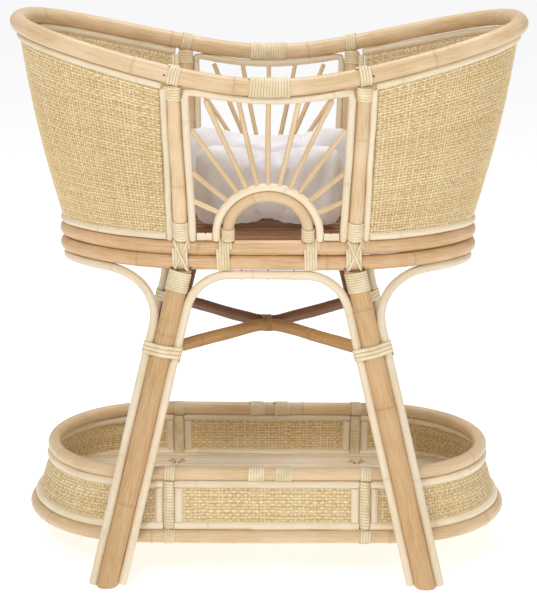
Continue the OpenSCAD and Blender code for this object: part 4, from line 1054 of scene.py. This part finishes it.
# ---- Cane lashings of the stand -----------------------------------------------
# Windings at the tops of the legs, bands of three broad strips half way down that
# hold leg, thin poles and brace, and three strips round the middle of the brace.
tops, bands = [], []
w = BRACE_Z / cos(SPLAY)
leg_at_band = leg_plane(FOOT_X - w * tan(LEG_LEAN), w)
band = hull_outline([(0, 0, LEG_D / 2 + 0.0005), (-SIDE_PITCH, 0, SIDE_D / 2 + 0.0005),
                     (SIDE_PITCH, 0, SIDE_D / 2 + 0.0005)], 56)
for (end, back), (foot, top) in leg_names.items():
    line = np.linspace(foot, top, 60)
    tall = np.linalg.norm(top - foot)
    tops.append(lash(line, circle(LEG_D / 2 + 0.0004, 28), tall - 0.0205, 8, strip=0.0042))
    middle = corner(leg_at_band, end, back)
    run = np.linalg.norm(middle - foot)
    bands.append(lash(line, band, run, 3, side=(1, 0, 0), strip=0.0068, thick=0.0016))
lashing("leg_top_windings", tops, "leg_top_bindings")
lashing("leg_bands", bands, "leg_band_bindings")
pair = hull_outline([(-BRACE_D / 2 - 0.0003, 0, BRACE_D / 2 + 0.0004),
                     (BRACE_D / 2 + 0.0003, 0, BRACE_D / 2 + 0.0004)], 36)
lashing("brace_lashing", [lash([(-0.03, 0, BRACE_Z), (0.03, 0, BRACE_Z)], pair, 0.03, 3,
                               side=(0, 1, 0), strip=0.0056)], "brace_binding", material=dark_cane)

# ---- Storage basket -----------------------------------------------------------
# Two tan hoops with round ends, the lower one longer and wider. Four wrapped posts
# join them, thin pale poles frame each panel, and the panels are woven cane.
SHELF_D = 0.024
SHELF_TOP_Z, SHELF_LOW_Z = 0.188, 0.077
SHELF_TOP_L, SHELF_TOP_W = 0.392, 0.18898
SHELF_LOW_L, SHELF_LOW_W = 0.426, 0.20326
SHELF_POST_X, SHELF_POST_D = 0.172, 0.017
SHELF_LEAN = atan2(SHELF_LOW_W - SHELF_TOP_W, SHELF_TOP_Z - SHELF_LOW_Z)
SHELF_SLANT = (SHELF_TOP_Z - SHELF_LOW_Z) / cos(SHELF_LEAN)

def round_hoop(half_l, half_w, z):
    turn = np.linspace(-pi / 2, pi / 2, 80)
    right = [(half_l - half_w + half_w * cos(t), half_w * sin(t), z) for t in turn]
    left = [(-x, -y, z) for x, y, _ in right]
    path = np.array(right + left + right[:1])
    run = lengths(path)
    return at(path, run, np.linspace(0, run[-1], 700))

shelf_top_path = round_hoop(SHELF_TOP_L, SHELF_TOP_W, SHELF_TOP_Z)
shelf_low_path = round_hoop(SHELF_LOW_L, SHELF_LOW_W, SHELF_LOW_Z)
pole("storage_top_hoop", shelf_top_path, SHELF_D, tan_rattan, "tan_rattan", ["shelf_top_hoop"],
     loop=True, sides=18, spacing=0.3, shade=0.5)
pole("storage_bottom_hoop", shelf_low_path, SHELF_D, tan_rattan, "tan_rattan",
     ["shelf_bottom_hoop"], loop=True, sides=18, spacing=0.28, shade=0.3)

def shelf_wall(x, v, out=0.0, back=-1):
    x, v = np.broadcast_arrays(np.asarray(x, float), np.asarray(v, float))
    y = SHELF_LOW_W - v * sin(SHELF_LEAN) + out * cos(SHELF_LEAN)
    return np.array([x, back * y, SHELF_LOW_Z + v * cos(SHELF_LEAN) + out * sin(SHELF_LEAN)])

SHELF_EDGE_D = 0.0152
SHELF_EDGE_V = SHELF_D / 2 + SHELF_EDGE_D / 2 - 0.0008
SHELF_POST_ROOM = SHELF_POST_D / 2 + BAND_T + SHELF_EDGE_D / 2
SHELF_IN_X, SHELF_OUT_X = SHELF_POST_X - SHELF_POST_ROOM, SHELF_POST_X + SHELF_POST_ROOM

def shelf_ring(f, push=0.0, start=SHELF_OUT_X, count=160):
    """Line round the right end of the basket's wall at a share of its height."""
    w = SHELF_LOW_W + (SHELF_TOP_W - SHELF_LOW_W) * f
    l = SHELF_LOW_L + (SHELF_TOP_L - SHELF_LOW_L) * f
    z = SHELF_LOW_Z + (SHELF_TOP_Z - SHELF_LOW_Z) * f
    turn = np.linspace(-pi / 2, pi / 2, 90)
    path = np.array([(start, -w - push, z)]
                    + [(l - w + (w + push) * cos(t), (w + push) * sin(t), z) for t in turn]
                    + [(start, w + push, z)])
    run = lengths(path)
    return at(path, run, np.linspace(0, run[-1], count))

post_runs, wraps = [], []
for back in (-1, 1):
    for end in (-1, 1):
        low, high = SHELF_D / 2 + 0.001, SHELF_SLANT - SHELF_D / 2 - 0.001
        line = np.array([shelf_wall(end * SHELF_POST_X, v, 0, back)
                         for v in np.linspace(low, high, 20)])
        post_runs.append(pole_rings(line, SHELF_POST_D, sides=14, spacing=9)[0])
        wraps.append(lash(line, circle(SHELF_POST_D / 2 + 0.0003, 18), lengths(line)[-1] / 2, 16,
                          strip=0.0050))
dressed(skin("storage_posts", np.array(post_runs), chance.uniform(-1, 1, 4),
             np.zeros(4 * len(post_runs[0])), np.linspace(0, 0.09, len(post_runs[0]))),
        tan_rattan, "tan_rattan", "frame", "shelf_posts")
lashing("storage_post_windings", wraps, "shelf_bindings")
scarfs, knots = [], []
for back in (-1, 1):
    line = np.array([(x, back * SHELF_TOP_W, SHELF_TOP_Z) for x in np.linspace(-0.06, 0.06, 9)])
    scarfs += [lash(line, circle(SHELF_D / 2 + 0.0004), s, 6) for s in (0.040, 0.088)]
    for wide, z in ((SHELF_TOP_W, SHELF_TOP_Z), (SHELF_LOW_W, SHELF_LOW_Z)):
        for end in (-1, 1):
            line = np.array([(end * SHELF_POST_X + x, back * wide, z) for x in (-0.02, 0.02)])
            knots.append(lash(line, circle(SHELF_D / 2 + 0.0004), 0.02, 4, strip=0.0044))
lashing("storage_scarf_windings", scarfs, "shelf_bindings")
lashing("storage_hoop_knots", knots, "shelf_bindings")

SHELF_TOP_V = SHELF_SLANT - SHELF_EDGE_V

def frame_sides(name, face, places):
    """The two upright lengths of a frame; places holds each one's x and its side."""
    runs = []
    for x, back in places:
        line = [shelf_wall(x, v, 0, back) for v in np.linspace(
            SHELF_EDGE_V + SHELF_EDGE_D * 0.45, SHELF_TOP_V - SHELF_EDGE_D * 0.45, 12)]
        runs.append(pole_rings(line, SHELF_EDGE_D, sides=12, spacing=9)[0])
    dressed(skin(name + face, np.array(runs), chance.uniform(-1, 1, 2),
                 np.zeros(2 * len(runs[0])), np.linspace(0, 0.06, len(runs[0]))),
            cream_rattan, "cream_rattan", "frame", "shelf_frame_" + face)

for back, face in ((-1, "front"), (1, "back")):
    for part, v in (("low", SHELF_EDGE_V), ("high", SHELF_TOP_V)):
        half = SHELF_IN_X + SHELF_EDGE_D / 2
        line = [shelf_wall(x, v, 0, back) for x in np.linspace(-half, half, 30)]
        pole("storage_frame_%s_%s" % (part, face), line, SHELF_EDGE_D, cream_rattan, "cream_rattan",
             ["shelf_frame_" + face], sides=12, spacing=0.24)
    frame_sides("storage_frame_sides_", face, [(-SHELF_IN_X, back), (SHELF_IN_X, back)])

def flat_panel(back):
    inset = SHELF_EDGE_D * 0.4
    def surface(a, f):
        x = (2 * a - 1) * (SHELF_IN_X - inset)
        v = SHELF_EDGE_V + inset + (SHELF_TOP_V - SHELF_EDGE_V - 2 * inset) * f
        points = np.moveaxis(shelf_wall(x, v, 0, back), 0, -1)
        out = np.broadcast_to([0, back * cos(SHELF_LEAN), sin(SHELF_LEAN)], points.shape)
        return points, out
    return surface

for back, face in ((-1, "front"), (1, "back")):
    woven("storage_weave_" + face, flat_panel(back), 11, 44, 0.075, 0.31,
          ["shelf_cane_" + face], 0.0070, 0.0070)

def end_panel(end):
    inset = SHELF_EDGE_D * 0.4
    low = (SHELF_EDGE_V + inset) / SHELF_SLANT
    def surface(a, f):
        points, out = np.zeros(a.shape + (3,)), np.zeros(a.shape + (3,))
        for level in np.unique(f):
            ring = shelf_ring(low + (1 - 2 * low) * level, 0.0, SHELF_OUT_X + inset, 400)
            run = lengths(ring)
            way = unit(np.gradient(ring, axis=0))
            face = unit(np.stack([way[:, 1], -way[:, 0], way[:, 0] * 0 + 0.1], -1))
            here = f == level
            points[here] = at(ring, run, a[here] * run[-1])
            out[here] = at(face, run, a[here] * run[-1])
        flip = np.array([end, 1, 1])
        return points * flip, unit(out * flip)
    return surface

for end, side in ((1, "right"), (-1, "left")):
    for part, v in (("low", SHELF_EDGE_V), ("high", SHELF_TOP_V)):
        line = corner(shelf_ring(v / SHELF_SLANT, 0.0, SHELF_OUT_X - SHELF_EDGE_D / 2), end, -1)
        pole("storage_end_%s_%s" % (part, side), line, SHELF_EDGE_D, cream_rattan, "cream_rattan",
             ["shelf_frame_" + side], sides=12, spacing=0.3)
    frame_sides("storage_end_sides_", side, [(end * SHELF_OUT_X, back) for back in (-1, 1)])
    woven("storage_weave_" + side, end_panel(end), 11, 120, 0.075, 0.84,
          ["shelf_cane_" + side], 0.0070, 0.0070)

# ---- Deck of the storage basket -----------------------------------------------
# Thin pale poles laid lengthwise side by side over two cross bearers, held by
# strips of cane that cross each other in stars above the bearers.
DECK_D, DECK_GAP = 0.014, 0.0012
DECK_Z = SHELF_LOW_Z + SHELF_D / 2 + DECK_D / 2 + 0.0003
deck_w = SHELF_LOW_W - SHELF_D / 2 - DECK_D / 2
deck_rows = int((deck_w - 0.004) / (DECK_D + DECK_GAP))
deck_r = SHELF_LOW_W - EDGE_D / 2 - DECK_D * 0.6
runs, ridges = [], []
for row in range(-deck_rows, deck_rows + 1):
    y = row * (DECK_D + DECK_GAP)
    half = SHELF_LOW_L - SHELF_LOW_W + sqrt(deck_r ** 2 - y ** 2) - 0.0045
    rings = pole_rings([(-half, y, DECK_Z), (half, y, DECK_Z)], DECK_D, sides=10, spacing=9,
                       fine=0.02, wander=0.0005)[0]
    keep = np.round(np.linspace(0, len(rings) - 1, 36)).astype(int)
    runs.append(rings[keep])
deck = skin("storage_deck_poles", np.array(runs), chance.uniform(-1, 1, len(runs)),
            np.zeros(len(runs) * 36), np.linspace(0, 0.75, 36))
dressed(deck, cream_rattan, "cream_rattan", "frame", "shelf_deck")
runs = []
for end in (-1, 1):
    y = SHELF_LOW_W - SHELF_D / 2 - 0.001
    z = DECK_Z - DECK_D / 2 - BEARER_D / 2 - 0.0003
    runs.append(pole_rings([(end * SHELF_POST_X, -y, z), (end * SHELF_POST_X, y, z)], BEARER_D,
                           sides=12, spacing=9)[0])
dressed(skin("storage_bearers", np.array(runs), chance.uniform(-1, 1, 2),
             np.zeros(2 * len(runs[0])), np.linspace(0, 0.38, len(runs[0]))),
        tan_rattan, "tan_rattan", "frame", "shelf_bearers")
stars = []
turn = np.arange(8) * pi / 4 + pi / 8
for end in (-1, 1):
    for row in range(-10, 11, 3):
        y = row * (DECK_D + DECK_GAP)
        for dx, dy in ((0.017, 0.0), (0.012, 0.016), (0.012, -0.016), (0.0, 0.021)):
            k = np.linspace(-1, 1, 17)
            top = DECK_Z + DECK_D / 2 + 0.0010 - np.maximum(0, np.abs(k) - 0.75) ** 2 * 0.05
            spot = np.stack([end * SHELF_POST_X + k * dx, y + k * dy, top + 0.0004 * (dy == 0)], -1)
            way = unit(np.gradient(spot, axis=0))
            across = unit(np.cross(way, [0, 0, 1.0]))
            stars.append(spot[:, None] + (np.cos(turn) * 0.0022)[None, :, None] * across[:, None]
                         + (np.sin(turn) * 0.0006)[None, :, None] * np.array([0, 0, 1.0]))
lashing("deck_star_lashings", stars, "shelf_bindings")

# ---- Nails and screws ---------------------------------------------------------
# Small dark heads of steel pins in the thin poles and beside the lashings.
def steel(name):
    material, nodes, links = shader(name)
    surface = nodes["Principled BSDF"]
    place = nodes.new("ShaderNodeTexCoord").outputs["Object"]
    colour = ramp(nodes, links, noise(nodes, links, place, 300.0, 2.0),
                  [(0.35, linear(70, 54, 42)), (0.7, linear(118, 96, 76))])
    links.new(colour, surface.inputs["Base Color"])
    surface.inputs["Metallic"].default_value = 0.8
    surface.inputs["Roughness"].default_value = 0.45
    return material

dark_steel = steel("dark_steel")
for node in ("frame_nails", "shelf_screws"):
    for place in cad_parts[node].material_slots:
        place.material = dark_steel
NAIL_HEAD_R = 0.0017
NAIL_BESIDE_POST, NAIL_DROP = 0.0135, -0.003
spots = []
for end, back in post_lines:
    x = end * (POST_TOP_X + NAIL_BESIDE_POST)
    on_line = np.array([x, back * rim_reach(x), float(rim_height(x)) + NAIL_DROP])
    outward = np.array([0, back, 0.1])
    spots.append((on_line + outward * RIM_D / 2, outward))
for end in (-1, 1):
    for back in (-1, 1):
        for x in (POST_FOOT_X - 0.0155, POST_FOOT_X + 0.0155):
            out = unit(np.array([0, back, -0.75]))
            spot = np.array([end * x, back * hoop_reach(x), LOW_HOOP_Z])
            spots.append((spot + out * HOOP_D / 2, out))
heads = []
for spot, out in spots:
    out = unit(out)
    a = unit(np.cross(out, [0.3, 0.1, 1.0]))
    b = np.cross(out, a)
    turn = np.arange(10) * pi / 5
    disc = np.cos(turn)[:, None] * a + np.sin(turn)[:, None] * b
    heads.append([spot + out * h + disc * NAIL_HEAD_R * r
                  for h, r in ((-0.001, 0.9), (0.0003, 1.0), (0.0007, 0.8), (0.0009, 0.3))])
nails = skin("nail_heads", np.array(heads), np.zeros(len(heads)))
dressed(nails, dark_steel, "steel", "frame")
